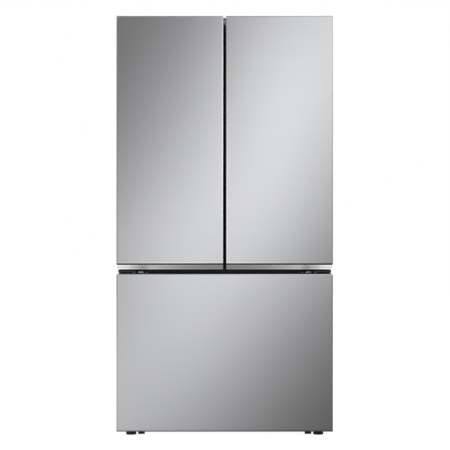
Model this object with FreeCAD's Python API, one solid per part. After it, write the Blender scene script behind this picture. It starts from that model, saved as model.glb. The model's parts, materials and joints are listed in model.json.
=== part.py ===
"""French door refrigerator: two upper doors over a full-width freezer drawer, with finger-pocket handles.

The frame's origin is at the middle of the floor footprint. +X is to the right of someone facing the doors,
+Y points into the cabinet and +Z is up. Places along Y are written as depths behind the door fronts.
All sizes are in millimetres. Each function below makes one assembly and returns its nodes by name.
"""

import FreeCAD
import Part
import math
import os

from FreeCAD import Vector

# Overall size
WIDTH = 908.0
DEPTH = 740.0
DOOR_TOP = 1772.0

# Front faces, from the top down
PANEL_BOTTOM = 732.5
HANDLE_TOP = 727.5
DOOR_BOTTOM = 709.0
CAP_BOTTOM = 710.0
DRAWER_TOP = 690.0
DRAWER_BOTTOM = 28.0
DOOR_GAP = 11.0

# Doors and drawer front, from front to back
SHEET = 1.0
SIDE_RETURN = 70.0
DOOR_BACK = 84.0
SEAL = 11.5
CASE_FRONT = 96.0
DIKE_BACK = 124.0
RECESS = 66.0
EDGE_RADIUS = 4.0
TOP_LIP = 8.0
CAP_TOP = 1764.5
CORE_TOP = 1744.0
CORE_BOTTOM = 746.0

BIN_LEVELS = {"left": (800.0, 1120.0, 1440.0), "right": (800.0, 1120.0, 1420.0)}

# Cabinet
CASE_HALF = 452.0
CASE_TOP = 1768.0
CASE_BOTTOM = 50.0
CASE_BACK = 721.0
LINER = 2.0
CAVITY_HALF = 400.0
CAVITY_BACK = 655.0
FRIDGE_FLOOR = 738.0
FRIDGE_CEILING = 1712.0
FREEZER_FLOOR = 100.0
FREEZER_CEILING = 662.0
HUMP_FRONT = 430.0
HUMP_TOP = 300.0
MACHINE_FRONT = 476.0
MACHINE_TOP = 260.0
MACHINE_HALF = 425.0
FLANGE = 26.0

# Door hinges: both pins of a door stand on one line
PIN_X = 430.0
PIN_DEPTH = 40.0
TOP_PIN = 4.0
LOWER_PIN = 5.0
RUNNING_GAP = 0.05
HINGE_PLATE = 3.5

LID_DEPTH = 73.0
LID_LEVEL = 1547.0

# Swinging flap that closes the slot between the doors
FLAP_X = -26.0
FLAP_DEPTH = 106.0
FLAP_RADIUS = 9.5
FLAP_REACH = 58.0
FLAP_Z = (748.0, 1700.0)
FLAP_PIN = 3.0

# Freezer drawer and its telescopic slides
GRIP_FLOOR = 662.0
PLINTH_BACK = 96.0
BASKET_RIM = 420.0
TRAY_LEVEL = 503.0
SLIDE_LEVEL = 450.0
SLIDE_FRONT = 108.0
SLIDE_LENGTH = 452.0

# Shelves, by the level of their underside
DECK_LEVEL = 834.0
COVER_LEVEL = 990.0
SHELF = 16.0
LEFT_SHELVES = (1240.0, 1440.0)
RIGHT_SHELVES = (1205.0, 1420.0)
RAIL_X = 382.0
RAIL_DEPTH = (627.0, 633.0)
FAN_SHAFT = 3.0

# Feet and rollers
LEG_X = 400.0
LEG_DEPTH = 126.0
LEG_STUD = 5.0
ROLLER_X = 356.0
FRONT_ROLLER = 17.5
REAR_ROLLER = 20.0
REAR_ROLLER_X = 400.0
REAR_ROLLER_DEPTH = 690.0
AXLE = 4.0

UP = Vector(0, 0, 1)
BACK = Vector(0, 1, 0)
RIGHT = Vector(1, 0, 0)


def y_at(depth):
    """The frame's Y of a depth behind the door fronts."""
    return depth - DEPTH / 2


def block(x, depth, z):
    """A box from its spans along x, depth and z."""
    size = (x[1] - x[0], depth[1] - depth[0], z[1] - z[0])
    return Part.makeBox(*size, Vector(x[0], y_at(depth[0]), z[0]))


def rod(x, depth, z, radius, length, axis=UP):
    """A round bar that starts at a point and runs along an axis."""
    return Part.makeCylinder(radius, length, Vector(x, y_at(depth), z), axis)


def fuse(shapes):
    """One solid from several that touch."""
    return shapes[0].fuse(shapes[1:]).removeSplitter() if len(shapes) > 1 else shapes[0]


def span(side, near, far):
    """The x span between two distances from the middle, on the left (-1) or right (+1) side."""
    return tuple(sorted((side * near, side * far)))


def rounded(shape, radius, axis, keep=lambda point: True):
    """A shape with its straight edges along an axis rounded, where keep says so of the edge's middle."""
    edges = []
    for edge in shape.Edges:
        if len(edge.Vertexes) == 2 and isinstance(edge.Curve, Part.Line):
            run = edge.Vertexes[1].Point - edge.Vertexes[0].Point
            if run.Length > 1e-6 and run.normalize().cross(axis).Length < 1e-6:
                if keep(edge.CenterOfMass):
                    edges.append(edge)
    return shape.makeFillet(radius, edges)


def prism(points, start, length, axis):
    """A solid drawn as an outline of (first, second) pairs and pushed along an axis from start.

    The outline lies in x-z for the axis BACK, in x-y for UP, and in y-z for RIGHT, with depths for y.
    """
    if axis == BACK:
        corners = [Vector(a, y_at(start), b) for a, b in points]
    elif axis == UP:
        corners = [Vector(a, y_at(b), start) for a, b in points]
    else:
        corners = [Vector(start, y_at(a), b) for a, b in points]
    face = Part.Face(Part.makePolygon(corners + corners[:1]))
    return face.extrude(axis * length)


def tub(x, depth, z, wall, radius):
    """An open-topped container with rounded upright corners."""
    outer = rounded(block(x, depth, z), radius, UP)
    inside = block((x[0] + wall, x[1] - wall), (depth[0] + wall, depth[1] - wall), (z[0] + wall, z[1] + 1))
    return outer.cut(rounded(inside, radius - wall, UP))


def pressed_front(x, z, lips, side_top, top_corner=0.0):
    """A sheet-metal front and the space inside it: rolled edges, side returns, and a lip below and above.

    Behind the upper lip the side returns stop at side_top.
    """
    outer = block(x, (0, SIDE_RETURN), z)
    if top_corner:
        outer = rounded(outer, top_corner, BACK, lambda p: p.z > z[1] - 1)
    front = [e for e in outer.Edges if all(abs(v.Point.y - y_at(0)) < 1e-6 for v in e.Vertexes)]
    outer = outer.makeFillet(EDGE_RADIUS, front)
    inner = block((x[0] + SHEET, x[1] - SHEET), (SHEET, SIDE_RETURN + 1), (z[0] + SHEET, z[1] - SHEET))
    if top_corner:
        inner = rounded(inner, top_corner - SHEET, BACK, lambda p: p.z > z[1] - SHEET - 1)
    front = [e for e in inner.Edges if all(abs(v.Point.y - y_at(SHEET)) < 1e-6 for v in e.Vertexes)]
    inner = inner.makeFillet(EDGE_RADIUS - SHEET, front)
    sheet = outer.cut(inner)
    below = block((x[0] + SHEET, x[1] - SHEET), (lips[0], SIDE_RETURN + 1), (z[0] - 1, z[0] + SHEET))
    above = block((x[0] - 1, x[1] + 1), (lips[1], SIDE_RETURN + 1), (side_top, z[1] + 1))
    return sheet.cut(below).cut(above), inner


def ring(outer_x, outer_z, width, depth):
    """A rectangular frame that faces the front, with mitred corners."""
    inside_x = (outer_x[0] + width, outer_x[1] - width)
    inside_z = (outer_z[0] + width, outer_z[1] - width)
    return block(outer_x, depth, outer_z).cut(block(inside_x, (depth[0] - 1, depth[1] + 1), inside_z))


def cabinet():
    """The case, its back, the two moulded liners and the foam between them."""
    case = rounded(
        block((-CASE_HALF, CASE_HALF), (CASE_FRONT, CASE_BACK), (CASE_BOTTOM, CASE_TOP)),
        EDGE_RADIUS, BACK, lambda p: p.z > CASE_TOP - 1)
    inner_half = CASE_HALF - SHEET
    hollow = rounded(
        block((-inner_half, inner_half), (CASE_FRONT + SHEET, CASE_BACK + 1), (CASE_BOTTOM - 1, CASE_TOP - SHEET)),
        EDGE_RADIUS - SHEET, BACK, lambda p: p.z > CASE_TOP - SHEET - 1)
    flange_half = CASE_HALF - FLANGE
    flange_x = (-flange_half, flange_half)
    mouth = block(flange_x, (CASE_FRONT - 1, CASE_FRONT + SHEET + 1), (CASE_BOTTOM - 1, CASE_TOP - FLANGE))
    outer_case = case.cut(hollow).cut(mouth)

    fridge_in = rounded(
        block((-CAVITY_HALF, CAVITY_HALF), (CASE_FRONT - 1, CAVITY_BACK), (FRIDGE_FLOOR, FRIDGE_CEILING)), 12, BACK)
    fridge_out = rounded(
        block((-CAVITY_HALF - LINER, CAVITY_HALF + LINER), (CASE_FRONT, CAVITY_BACK + LINER),
              (FRIDGE_FLOOR - LINER, FRIDGE_CEILING + LINER)), 12 + LINER, BACK)
    freezer_in = freezer_space(0.0)
    freezer_out = freezer_space(LINER)
    lip = (CASE_FRONT, CASE_FRONT + LINER)
    fridge_lip = block(flange_x, lip, (FRIDGE_FLOOR - LINER, CASE_TOP - FLANGE))
    freezer_lip = block(flange_x, lip, (CASE_BOTTOM + LINER, FREEZER_CEILING + LINER))
    runners = [block(span(side, CAVITY_HALF - 12, CAVITY_HALF), (215, 600), (z - 6, z))
               for side in (-1, 1) for z in (DECK_LEVEL, COVER_LEVEL)]
    guide = block((-14, 36), (106, 165), (1703, FRIDGE_CEILING)).cut(rod(FLAP_X, FLAP_DEPTH, 1690, 51, 30))
    fridge_liner = fuse([fridge_out, fridge_lip]).cut(fridge_in)
    fridge_liner = fuse([fridge_liner, guide] + runners)
    freezer_liner = fuse([freezer_out, freezer_lip]).cut(freezer_in)

    foam_z = (CASE_BOTTOM + LINER, CASE_TOP - SHEET)
    foam = rounded(
        block((-inner_half, inner_half), (CASE_FRONT + SHEET, CASE_BACK - 2), foam_z),
        EDGE_RADIUS - SHEET, BACK, lambda p: p.z > CASE_TOP - SHEET - 1)
    machine = block((-MACHINE_HALF, MACHINE_HALF), (MACHINE_FRONT, CASE_BACK), (CASE_BOTTOM, MACHINE_TOP))
    front_gap = block(flange_x, lip, (CASE_BOTTOM, CASE_TOP - FLANGE))
    insulation = foam.cut(fridge_out).cut(freezer_out).cut(machine).cut(front_gap)

    back_span = (MACHINE_TOP + 2, CASE_TOP - SHEET - 1)
    rear_panel = block((-inner_half, inner_half), (CASE_BACK - 2, CASE_BACK - 1), back_span)
    for z in (480, 800, 1120):
        raised = block((-340, 340), (CASE_BACK - 1, CASE_BACK + 2), (z, z + 240))
        hollow_side = block((-339, 339), (CASE_BACK - 3, CASE_BACK + 1), (z + 1, z + 239))
        rear_panel = rear_panel.fuse(rounded(raised, 20, BACK)).cut(rounded(hollow_side, 19, BACK))

    rail_z = (FREEZER_CEILING + LINER, FRIDGE_FLOOR - LINER)
    mullion_rail = rounded(block(flange_x, lip, rail_z), 0.6, RIGHT, lambda p: p.y < y_at(CASE_FRONT + 1))
    return {
        "outer_case": outer_case, "rear_panel": rear_panel, "fridge_liner": fridge_liner,
        "freezer_liner": freezer_liner, "cabinet_insulation": insulation, "mullion_rail": mullion_rail,
    }


def freezer_space(grow):
    """The freezer's inside, with the step over the machine compartment, grown by a wall thickness."""
    front = CASE_FRONT - 1 + (grow > 0)
    outline = [
        (front, FREEZER_FLOOR - grow), (HUMP_FRONT + grow, FREEZER_FLOOR - grow),
        (HUMP_FRONT + grow, HUMP_TOP - grow), (CAVITY_BACK + grow, HUMP_TOP - grow),
        (CAVITY_BACK + grow, FREEZER_CEILING + grow), (front, FREEZER_CEILING + grow),
    ]
    half = CAVITY_HALF + grow
    return rounded(prism(outline, -half, 2 * half, RIGHT), 12 + grow, BACK)


def base():
    """The welded steel base: deck, machine tray, front sill with leg bushes, and roller brackets."""
    deck = block((-450, 450), (CASE_FRONT + 2, MACHINE_FRONT), (CASE_BOTTOM, CASE_BOTTOM + 2))
    tray = block((-MACHINE_HALF, MACHINE_HALF), (MACHINE_FRONT, CASE_BACK - 3), (44, 46))
    riser = block((-MACHINE_HALF, MACHINE_HALF), (MACHINE_FRONT, MACHINE_FRONT + 2), (44, 60))
    sill = block((-450, 450), (CASE_FRONT + 4, CASE_FRONT + 62), (CASE_BOTTOM - 4, CASE_BOTTOM))
    steel = [deck, tray, riser, sill]
    for side in (-1, 1):
        steel.append(rod(side * LEG_X, LEG_DEPTH, CASE_BOTTOM - 18, 11, 14))
        for x, depth, top in ((ROLLER_X, LEG_DEPTH, CASE_BOTTOM - 4), (REAR_ROLLER_X, REAR_ROLLER_DEPTH, 44)):
            for near in (x - 20, x + 18):
                ear = block(span(side, near, near + 2), (depth - 14, depth + 14), (12, top))
                steel.append(rounded(ear, 10, RIGHT, lambda p: p.z < 13))
    frame = fuse(steel)
    for side in (-1, 1):
        frame = frame.cut(rod(side * LEG_X, LEG_DEPTH, 20, LEG_STUD + RUNNING_GAP, 60))
    hole = AXLE + 0.1
    frame = frame.cut(rod(-450, LEG_DEPTH, FRONT_ROLLER + 1, hole, 900, RIGHT))
    frame = frame.cut(rod(-450, REAR_ROLLER_DEPTH, REAR_ROLLER, hole, 900, RIGHT))

    axles = []
    legs = {}
    for side, word in ((-1, "left"), (1, "right")):
        rear = (REAR_ROLLER_X, REAR_ROLLER_DEPTH, REAR_ROLLER)
        for x, depth, z in ((ROLLER_X, LEG_DEPTH, FRONT_ROLLER + 1), rear):
            start = side * x - 20.5
            axles.append(fuse([
                rod(start, depth, z, AXLE, 41, RIGHT), rod(start - 2, depth, z, 7, 2, RIGHT),
                rod(start + 41, depth, z, 7, 2, RIGHT)]))
        foot = rod(side * LEG_X, LEG_DEPTH, 0, 22, 9)
        foot = foot.makeFillet(3, [e for e in foot.Edges if e.CenterOfMass.z < 1 and e.Closed])
        legs[f"levelling_leg_{word}"] = fuse([
            foot, hexagon(side * LEG_X, LEG_DEPTH, 9, 9.5, 7), rod(side * LEG_X, LEG_DEPTH, 16, LEG_STUD, 33)])

    rollers = {}
    for word, x, depth, z, radius in (
            ("front", ROLLER_X, LEG_DEPTH, FRONT_ROLLER + 1, FRONT_ROLLER),
            ("rear", REAR_ROLLER_X, REAR_ROLLER_DEPTH, REAR_ROLLER, REAR_ROLLER)):
        wheels = [roller(side * x, depth, z, radius) for side in (-1, 1)]
        rollers[f"{word}_rollers"] = Part.makeCompound(wheels)
    return {"base_frame": frame, "roller_axles": Part.makeCompound(axles), **legs, **rollers}


def hexagon(x, depth, z, across, height):
    """A hexagonal collar for a spanner, standing on z."""
    corners = [(x + across * math.cos(math.radians(60 * i)), depth + across * math.sin(math.radians(60 * i)))
               for i in range(6)]
    return prism(corners, z, height, UP)


def roller(x, depth, z, radius):
    """A crowned plastic wheel with hubs, bored for its axle."""
    width = 28.0
    wheel = rod(x - width / 2, depth, z, radius, width, RIGHT)
    wheel = wheel.makeFillet(3, [e for e in wheel.Edges if e.Closed])
    hubs = rod(x - width / 2 - 3, depth, z, 7.5, width + 6, RIGHT)
    bore = rod(x - width / 2 - 4, depth, z, AXLE + RUNNING_GAP, width + 8, RIGHT)
    return wheel.fuse(hubs).cut(bore)


def hinges():
    """Top and middle hinges with their pins, the covers on the case top, and all their screws."""
    plates, covers, screws = [], [], []
    for side in (-1, 1):
        plates.append(top_hinge(side))
        plates.append(middle_hinge(side))
        covers.append(hinge_cover(side))
        for x, depth in ((412, 112), (384, 112), (384, 150)):
            screws.append(screw(side * x, depth, CASE_TOP + HINGE_PLATE, UP))
        for x in (353, 364):
            screws.append(screw(side * x, CASE_FRONT - 3, 694.5, BACK * -1))
    trim = block((-352, 352), (CASE_FRONT + 4, 140), (CASE_TOP, CASE_TOP + 9))
    trim = rounded(trim, 3, RIGHT, lambda p: p.z > CASE_TOP + 8)
    covers.append(trim)
    return {
        "door_hinges": Part.makeCompound(plates), "top_covers": Part.makeCompound(covers),
        "hinge_screws": Part.makeCompound(screws),
    }


def top_hinge(side):
    """A leaf on the case top with an arm that holds the upper pin over the door."""
    outline = [(side * x, depth) for x, depth in (
        (PIN_X + 8, 30), (PIN_X + 8, 100), (444, 108), (444, 122), (404, 122), (396, 164), (372, 164), (372, 100),
        (392, 84), (PIN_X - 14, 44), (PIN_X - 12, 30))]
    leaf = prism(outline, CASE_TOP, HINGE_PLATE, UP)
    boss = rod(side * PIN_X, PIN_DEPTH, CASE_TOP, 13, HINGE_PLATE)
    pin = rod(side * PIN_X, PIN_DEPTH, CASE_TOP - 20, TOP_PIN, 20 + HINGE_PLATE + 1.5)
    return fuse([leaf, boss, pin])


def middle_hinge(side):
    """A bracket on the rail between the compartments, with the lower pin and its closing cam."""
    arm_z = (696.0, 703.0)
    plate = block(span(side, 343, 446), (CASE_FRONT - 3, CASE_FRONT), (688.5, 713.0))
    plate = rounded(plate, 5, BACK)
    arm = block(span(side, 373, 449), (26, CASE_FRONT - 3), arm_z)
    arm = rounded(arm, 8, UP, lambda p: p.y < y_at(30))
    cam = rod(side * PIN_X, PIN_DEPTH, arm_z[1], 10, CAP_BOTTOM - 0.3 - arm_z[1])
    pin = rod(side * PIN_X, PIN_DEPTH, arm_z[1], LOWER_PIN, 27)
    return fuse([plate, arm, cam, pin])


def screw(x, depth, z, axis):
    """A round-headed screw seen as its head, standing on a face along an axis."""
    foot = Vector(x, y_at(depth), z)
    head = Part.makeCylinder(4.8, 3, foot, axis)
    head = head.makeFillet(1.2, [e for e in head.Edges if e.Closed and (e.CenterOfMass - foot).Length > 2])
    return head.cut(Part.makeCylinder(2, 1.6, foot + axis * 1.6, axis))


def hinge_cover(side):
    """A low moulded cover over the hinge leaf, thinner where it reaches out over the door."""
    profile = [(22, CASE_TOP + 4.3), (22, CASE_TOP + 7), (62, CASE_TOP + 9), (100, CASE_TOP + 16),
               (176, CASE_TOP + 16), (176, CASE_TOP), (CASE_FRONT + 2, CASE_TOP), (CASE_FRONT + 2, CASE_TOP + 4.3)]
    start = 360 if side > 0 else -450
    shell = prism(profile, start, 90, RIGHT)
    shell = rounded(shell, 5, UP, lambda p: p.y > y_at(170))
    hollow = [block(span(side, 366, 446), (CASE_FRONT + 2, 170), (CASE_TOP - 1, CASE_TOP + 9.5))]
    hollow.append(block(span(side, 390, 445), (25, CASE_FRONT + 3), (CASE_TOP + 4, CASE_TOP + 5.2)))
    hollow.append(block(span(side, 359, 412), (20, CASE_FRONT - 6), (CASE_TOP + 4, CASE_TOP + 20)))
    for part in hollow:
        shell = shell.cut(part)
    return shell


def machinery():
    """What stands in the machine compartment, behind the freezer and on the back."""
    dome = 85.0
    shell = rod(170, 600, 78, dome, 120)
    shell = shell.makeFillet(34, [e for e in shell.Edges if e.Closed])
    seam = rod(170, 600, 132, dome + 3, 5)
    feet = [block((170 + sx * 80 - 14, 170 + sx * 80 + 14), (600 + sd * 62 - 14, 600 + sd * 62 + 14), (46, 62))
            for sx in (-1, 1) for sd in (-1, 1)]
    plate = block((66, 274), (520, 680), (62, 65))
    neck = rod(170, 600, 64, 50, 20)
    terminal = block((150, 190), (600 - dome - 22, 600 - dome + 12), (120, 165))
    compressor = fuse([shell, seam, plate, neck, terminal] + feet)

    fins = [block((x, x + 1.5), (506, 690), (70, 246)) for x in range(-330, -60, 15)]
    tubes = [rod(-345, depth, z, 4, 300, RIGHT) for depth in (530, 570, 610, 650) for z in (95, 140, 185, 225)]
    ends = [block((x, x + 3), (500, 696), (64, 250)) for x in (-342, -51)]
    condenser = fuse(fins + tubes + ends)
    drain_pan = tub((-340, -40), (496, 700), (46, 61), 2, 8)

    fan_x, fan_z = -8.0, 150.0
    condenser_fan = fan(Vector(fan_x, y_at(600), fan_z), RIGHT, 72)
    evaporator_fan = fan(Vector(0, y_at(620), 560), BACK, 62)
    shroud = block((-28, 12), (506, 694), (64, 248)).cut(rod(-30, 600, fan_z, 78, 50, RIGHT))
    spoke = block((-28, -24), (594, 606), (66, 246))
    pin = rod(-28, 600, fan_z, FAN_SHAFT - RUNNING_GAP, 24, RIGHT)
    motor_mount = fuse([shroud, spoke, rod(-28, 600, fan_z, 16, 6, RIGHT), pin])
    cold_ring = rod(0, 604, 560, 74, 28, BACK).cut(rod(0, 603, 560, 68, 30, BACK))
    bar = block((-70, 70), (646, 649), (553, 567))
    arms = [block(x, (620, 649), (553, 567)) for x in ((-72, -66), (66, 72))]
    cold_ring = fuse([cold_ring, *arms, bar,
                      rod(0, 636, 560, 14, 12, BACK), rod(0, 612, 560, FAN_SHAFT - RUNNING_GAP, 30, BACK)])

    coils = [rod(-260, depth, z, 4, 520, RIGHT) for depth in (618, 640) for z in range(330, 480, 30)]
    plates = [block((x, x + 1.5), (610, 650), (318, 466)) for x in range(-250, 251, 20)]
    evaporator = fuse(plates + coils)

    return {
        "compressor": compressor, "condenser": condenser, "drain_pan": drain_pan, "condenser_fan": condenser_fan,
        "evaporator_fan": evaporator_fan, "fan_mounts": Part.makeCompound([motor_mount, cold_ring]),
        "evaporator": evaporator, **rear_covers(),
    }


def fan(centre, axis, radius):
    """A hub with five pitched blades, bored for its motor spindle. It spins about its axis through centre."""
    height = 18.0
    hub = Part.makeCylinder(20, height, centre - axis * (height / 2), axis)
    blades = [hub]
    for i in range(5):
        blade = Part.makeBox(radius - 16, 34, 2.0)
        blade.translate(Vector(16, -17, -1))
        blade.rotate(Vector(), RIGHT, 28)
        turn = FreeCAD.Rotation(UP, axis)
        blade.Placement = FreeCAD.Placement(centre, turn).multiply(
            FreeCAD.Placement(Vector(), FreeCAD.Rotation(UP, 72 * i))).multiply(blade.Placement)
        blades.append(blade)
    whole = fuse(blades)
    bore = Part.makeCylinder(FAN_SHAFT, height + 8, centre - axis * (height / 2 + 4), axis)
    return whole.cut(bore)


def rear_covers():
    """The slotted machine cover, the control board's cover and the spacers that keep the back off the wall."""
    cover = rounded(block((-446, 446), (CASE_BACK, CASE_BACK + 6), (54, MACHINE_TOP - 2)), 8, BACK)
    cover = cover.cut(block((-442, 442), (CASE_BACK - 1, CASE_BACK + 4), (58, MACHINE_TOP - 6)))
    slots = [block((x, x + 60), (CASE_BACK - 1, CASE_BACK + 8), (z, z + 7))
             for x in range(-400, 380, 80) for z in range(84, 230, 16)]
    cover = cover.cut(Part.makeCompound(slots))

    board = rounded(block((-130, 130), (CASE_BACK - 1, CASE_BACK + 13), (1480, 1640)), 10, BACK)
    board = board.cut(block((-127, 127), (CASE_BACK - 2, CASE_BACK + 10), (1483, 1637)))
    vents = [block((x, x + 5), (CASE_BACK + 8, CASE_BACK + 14), (1500, 1550)) for x in range(-100, 100, 12)]
    board = board.cut(Part.makeCompound(vents))

    spacers = []
    for side in (-1, 1):
        foot = rounded(block(span(side, 350, 390), (CASE_BACK - 1, DEPTH), (1540, 1600)), 8, BACK)
        spacers.append(foot)
    inlet = fuse([rod(330, CASE_BACK - 1, 330, 15, 7, BACK), rod(330, CASE_BACK + 6, 330, 10, 6, BACK)])
    inlet = inlet.cut(rod(330, CASE_BACK + 2, 330, 4, 14, BACK))
    return {"machine_cover": cover, "back_fittings": Part.makeCompound([board, inlet] + spacers)}


def interior():
    """Shelves, drawers and air ducts inside the two compartments."""
    duct = rounded(block((-110, 110), (RAIL_DEPTH[1], CAVITY_BACK), (1020, 1690)), 8, UP, lambda p: p.y < y_at(640))
    vents = [block(span(side, 55, 95), (RAIL_DEPTH[1] - 2, RAIL_DEPTH[1] + 8), (z, z + 8))
             for side in (-1, 1) for z in range(1060, 1660, 60)]
    duct = duct.cut(Part.makeCompound(vents))
    columns = [block(span(side, 366, CAVITY_HALF), (RAIL_DEPTH[1], CAVITY_BACK), (1020, 1690)) for side in (-1, 1)]

    rails = []
    for x in (-RAIL_X, 0, RAIL_X):
        rail = block((x - 9, x + 9), RAIL_DEPTH, (1030, 1680))
        channel = block((x - 6.5, x + 6.5), (RAIL_DEPTH[0] + 1.5, RAIL_DEPTH[1] + 1), (1029, 1681))
        holes = [block((x - 3.5, x + 3.5), (RAIL_DEPTH[0] - 1, RAIL_DEPTH[0] + 2), (z, z + 12))
                 for z in range(1050, 1670, 32)]
        rails.append(rail.cut(channel).cut(Part.makeCompound(holes)))

    frames, glasses = [], []
    for x, z in ([((-394, -1.5), z) for z in LEFT_SHELVES] + [((1.5, 394), z) for z in RIGHT_SHELVES]):
        frame, glass = shelf(x, (206, 612), z)
        middle, outer = sorted(x, key=abs)
        side = math.copysign(1, outer)
        arms = [bracket(span(side, 381, 384), z), bracket(span(side, abs(middle), abs(middle) + 3), z)]
        frames.append(fuse([frame] + arms))
        glasses.append(glass)
    for z, depth in ((DECK_LEVEL, (206, 612)), (COVER_LEVEL, (200, 626))):
        frame, glass = shelf((-396, 396), depth, z)
        frames.append(frame)
        glasses.append(glass)

    crispers = [crisper(span(side, 4, 386), (DECK_LEVEL + SHELF, 976)) for side in (-1, 1)]
    pantry = mitred(crisper((-386, 386), (FRIDGE_FLOOR, 824)), 386, (212, 596), FRIDGE_FLOOR + 2.5)
    sliders = {}
    for side, word in ((-1, "left"), (1, "right")):
        plate = rounded(block(span(side, 180, 204), (193, 199.5), (994, 1006)), 2, BACK)
        sliders[f"humidity_slider_{word}"] = plate

    panel = block((-396, 396), (598, 604), (HUMP_TOP + 3, FREEZER_CEILING - 3))
    panel = panel.cut(rod(0, 597, 560, 64, 8, BACK))
    grille = [rod(0, 599, 560, r + 3, 4, BACK).cut(rod(0, 598, 560, r, 6, BACK)) for r in (14, 28, 42, 56)]
    spokes = [block((-66, 66), (599, 603), (557, 563)), block((-3, 3), (599, 603), (494, 626))]
    returns = [block((x, x + 70), (597, 605), (z, z + 6)) for x in range(-360, 330, 90) for z in (320, 336, 352)]
    panel = fuse([panel.cut(Part.makeCompound(returns))] + grille + spokes)
    return {
        "air_duct": Part.makeCompound([duct] + columns), "shelf_rails": Part.makeCompound(rails),
        "shelf_frames": Part.makeCompound(frames), "shelf_glass": Part.makeCompound(glasses),
        "crispers": Part.makeCompound(crispers), "pantry_drawer": pantry, "freezer_duct_panel": panel, **sliders,
    }


def bracket(x, z):
    """A tapered arm that carries a shelf from the wall rail."""
    outline = [(400, z), (RAIL_DEPTH[0], z - 26), (RAIL_DEPTH[0], z + 8), (610, z + 8), (610, z + 1), (400, z + 1)]
    return prism(outline, x[0], x[1] - x[0], RIGHT)


def shelf(x, depth, z):
    """A moulded frame and the glass that it holds, with its top at z + 16."""
    frame = rounded(block(x, depth, (z, z + SHELF)), 6, UP)
    inside_x, inside_d = (x[0] + 10, x[1] - 10), (depth[0] + 14, depth[1] - 10)
    seat_x, seat_d = (x[0] + 4, x[1] - 4), (depth[0] + 6, depth[1] - 4)
    frame = frame.cut(block(inside_x, inside_d, (z - 1, z + 12)))
    frame = frame.cut(block(seat_x, seat_d, (z + 11, z + 17)))
    glass = block((seat_x[0] + 0.5, seat_x[1] - 0.5), (seat_d[0] + 0.5, seat_d[1] - 0.5), (z + 11, z + 15))
    return frame, glass


def crisper(x, z):
    """A clear drawer with a thicker front and a pull lip."""
    body = tub(x, (212, 596), z, 2.5, 14)
    lip = rounded(block((x[0] + 30, x[1] - 30), (203, 216), (z[1] - 16, z[1])), 4, RIGHT, lambda p: p.y < y_at(205))
    notch = block((x[0] + 34, x[1] - 34), (206, 211), (z[1] - 17, z[1] - 5))
    return fuse([body, lip]).cut(notch)


def mitred(drawer, half, depth, floor_top):
    """A drawer as separate solids: its floor, and four walls that meet on the corners' diagonals."""
    front, rear = depth
    reach, height = 20, 200
    outlines = [
        [(-half - reach, front - reach), (half + reach, front - reach), (half - reach, front + reach),
         (reach - half, front + reach)],
        [(-half - reach, rear + reach), (half + reach, rear + reach), (half - reach, rear - reach),
         (reach - half, rear - reach)],
    ]
    for side in (-1, 1):
        far, near = side * (half + reach), side * (half - reach)
        outlines.append([(far, front - reach), (near, front + reach), (near, rear - reach), (far, rear + reach)])
    zones = [prism(outline, floor_top, height, UP) for outline in outlines]
    zones.append(block((-half, half), depth, (floor_top - 10, floor_top)))
    return Part.makeCompound([drawer.common(zone) for zone in zones])


def door(side, word):
    """One door: pressed front, foam core, moulded liner, end caps, handle strip, gasket and bins."""
    inner, outer = DOOR_GAP / 2, WIDTH / 2
    skin, space = pressed_front(span(side, inner, outer), (PANEL_BOTTOM, DOOR_TOP), (12, TOP_LIP), CAP_TOP)
    inset = span(side, inner + SHEET, outer - SHEET)

    top_block = block(inset, (TOP_LIP, SIDE_RETURN), (CORE_TOP, CAP_TOP))
    top_cap = top_block.cut(rod(side * PIN_X, PIN_DEPTH, CORE_TOP - 1, TOP_PIN + RUNNING_GAP, 30))
    bottom_cap = bottom_cap_of(side, inset)
    handle = handle_strip(span(side, inner + 1.5, outer - 1.5))

    surface, backing = liner_form(side, 0.0), liner_form(side, LINER)
    liner = surface.cut(backing)
    core_front = block(inset, (SHEET, SIDE_RETURN), (CORE_BOTTOM, CAP_TOP)).common(space).cut(top_block)
    rear = backing.common(block((-WIDTH, WIDTH), (SIDE_RETURN, DIKE_BACK), (0, DOOR_TOP)))
    core = fuse([core_front, rear]).cut(recess(side, LINER))
    plate = block((-WIDTH, WIDTH), (0, RECESS - LINER), (0, DOOR_TOP))
    slab = block((-WIDTH, WIDTH), (0, DOOR_BACK - LINER), (0, DOOR_TOP))
    foam = Part.makeCompound([core.common(plate), core.common(slab).cut(plate), core.cut(slab)])

    gasket = ring(span(side, inner + 6.5, PIN_X), (716, 1746), 18, (DOOR_BACK, DOOR_BACK + SEAL))
    magnet = ring(span(side, inner + 12.5, PIN_X - 6), (722, 1740), 6, (DOOR_BACK + 3, DOOR_BACK + 7))
    if side < 0:
        lugs = [flap_bracket(FLAP_Z[1] + 0.5, FLAP_Z[1] - 16), flap_bracket(FLAP_Z[0] - 5.5, FLAP_Z[0] + 16)]
        liner = fuse([liner] + lugs)
    name = f"{word}_door"
    return {
        f"{name}_skin": skin, f"{name}_core": foam, f"{name}_liner": liner, f"{name}_handle": handle,
        f"{name}_end_caps": Part.makeCompound([top_cap, bottom_cap]), f"{name}_gasket": gasket.cut(magnet),
        f"{name}_bins": Part.makeCompound([door_bin(side, z) for z in BIN_LEVELS[word]]),
    }


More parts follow.
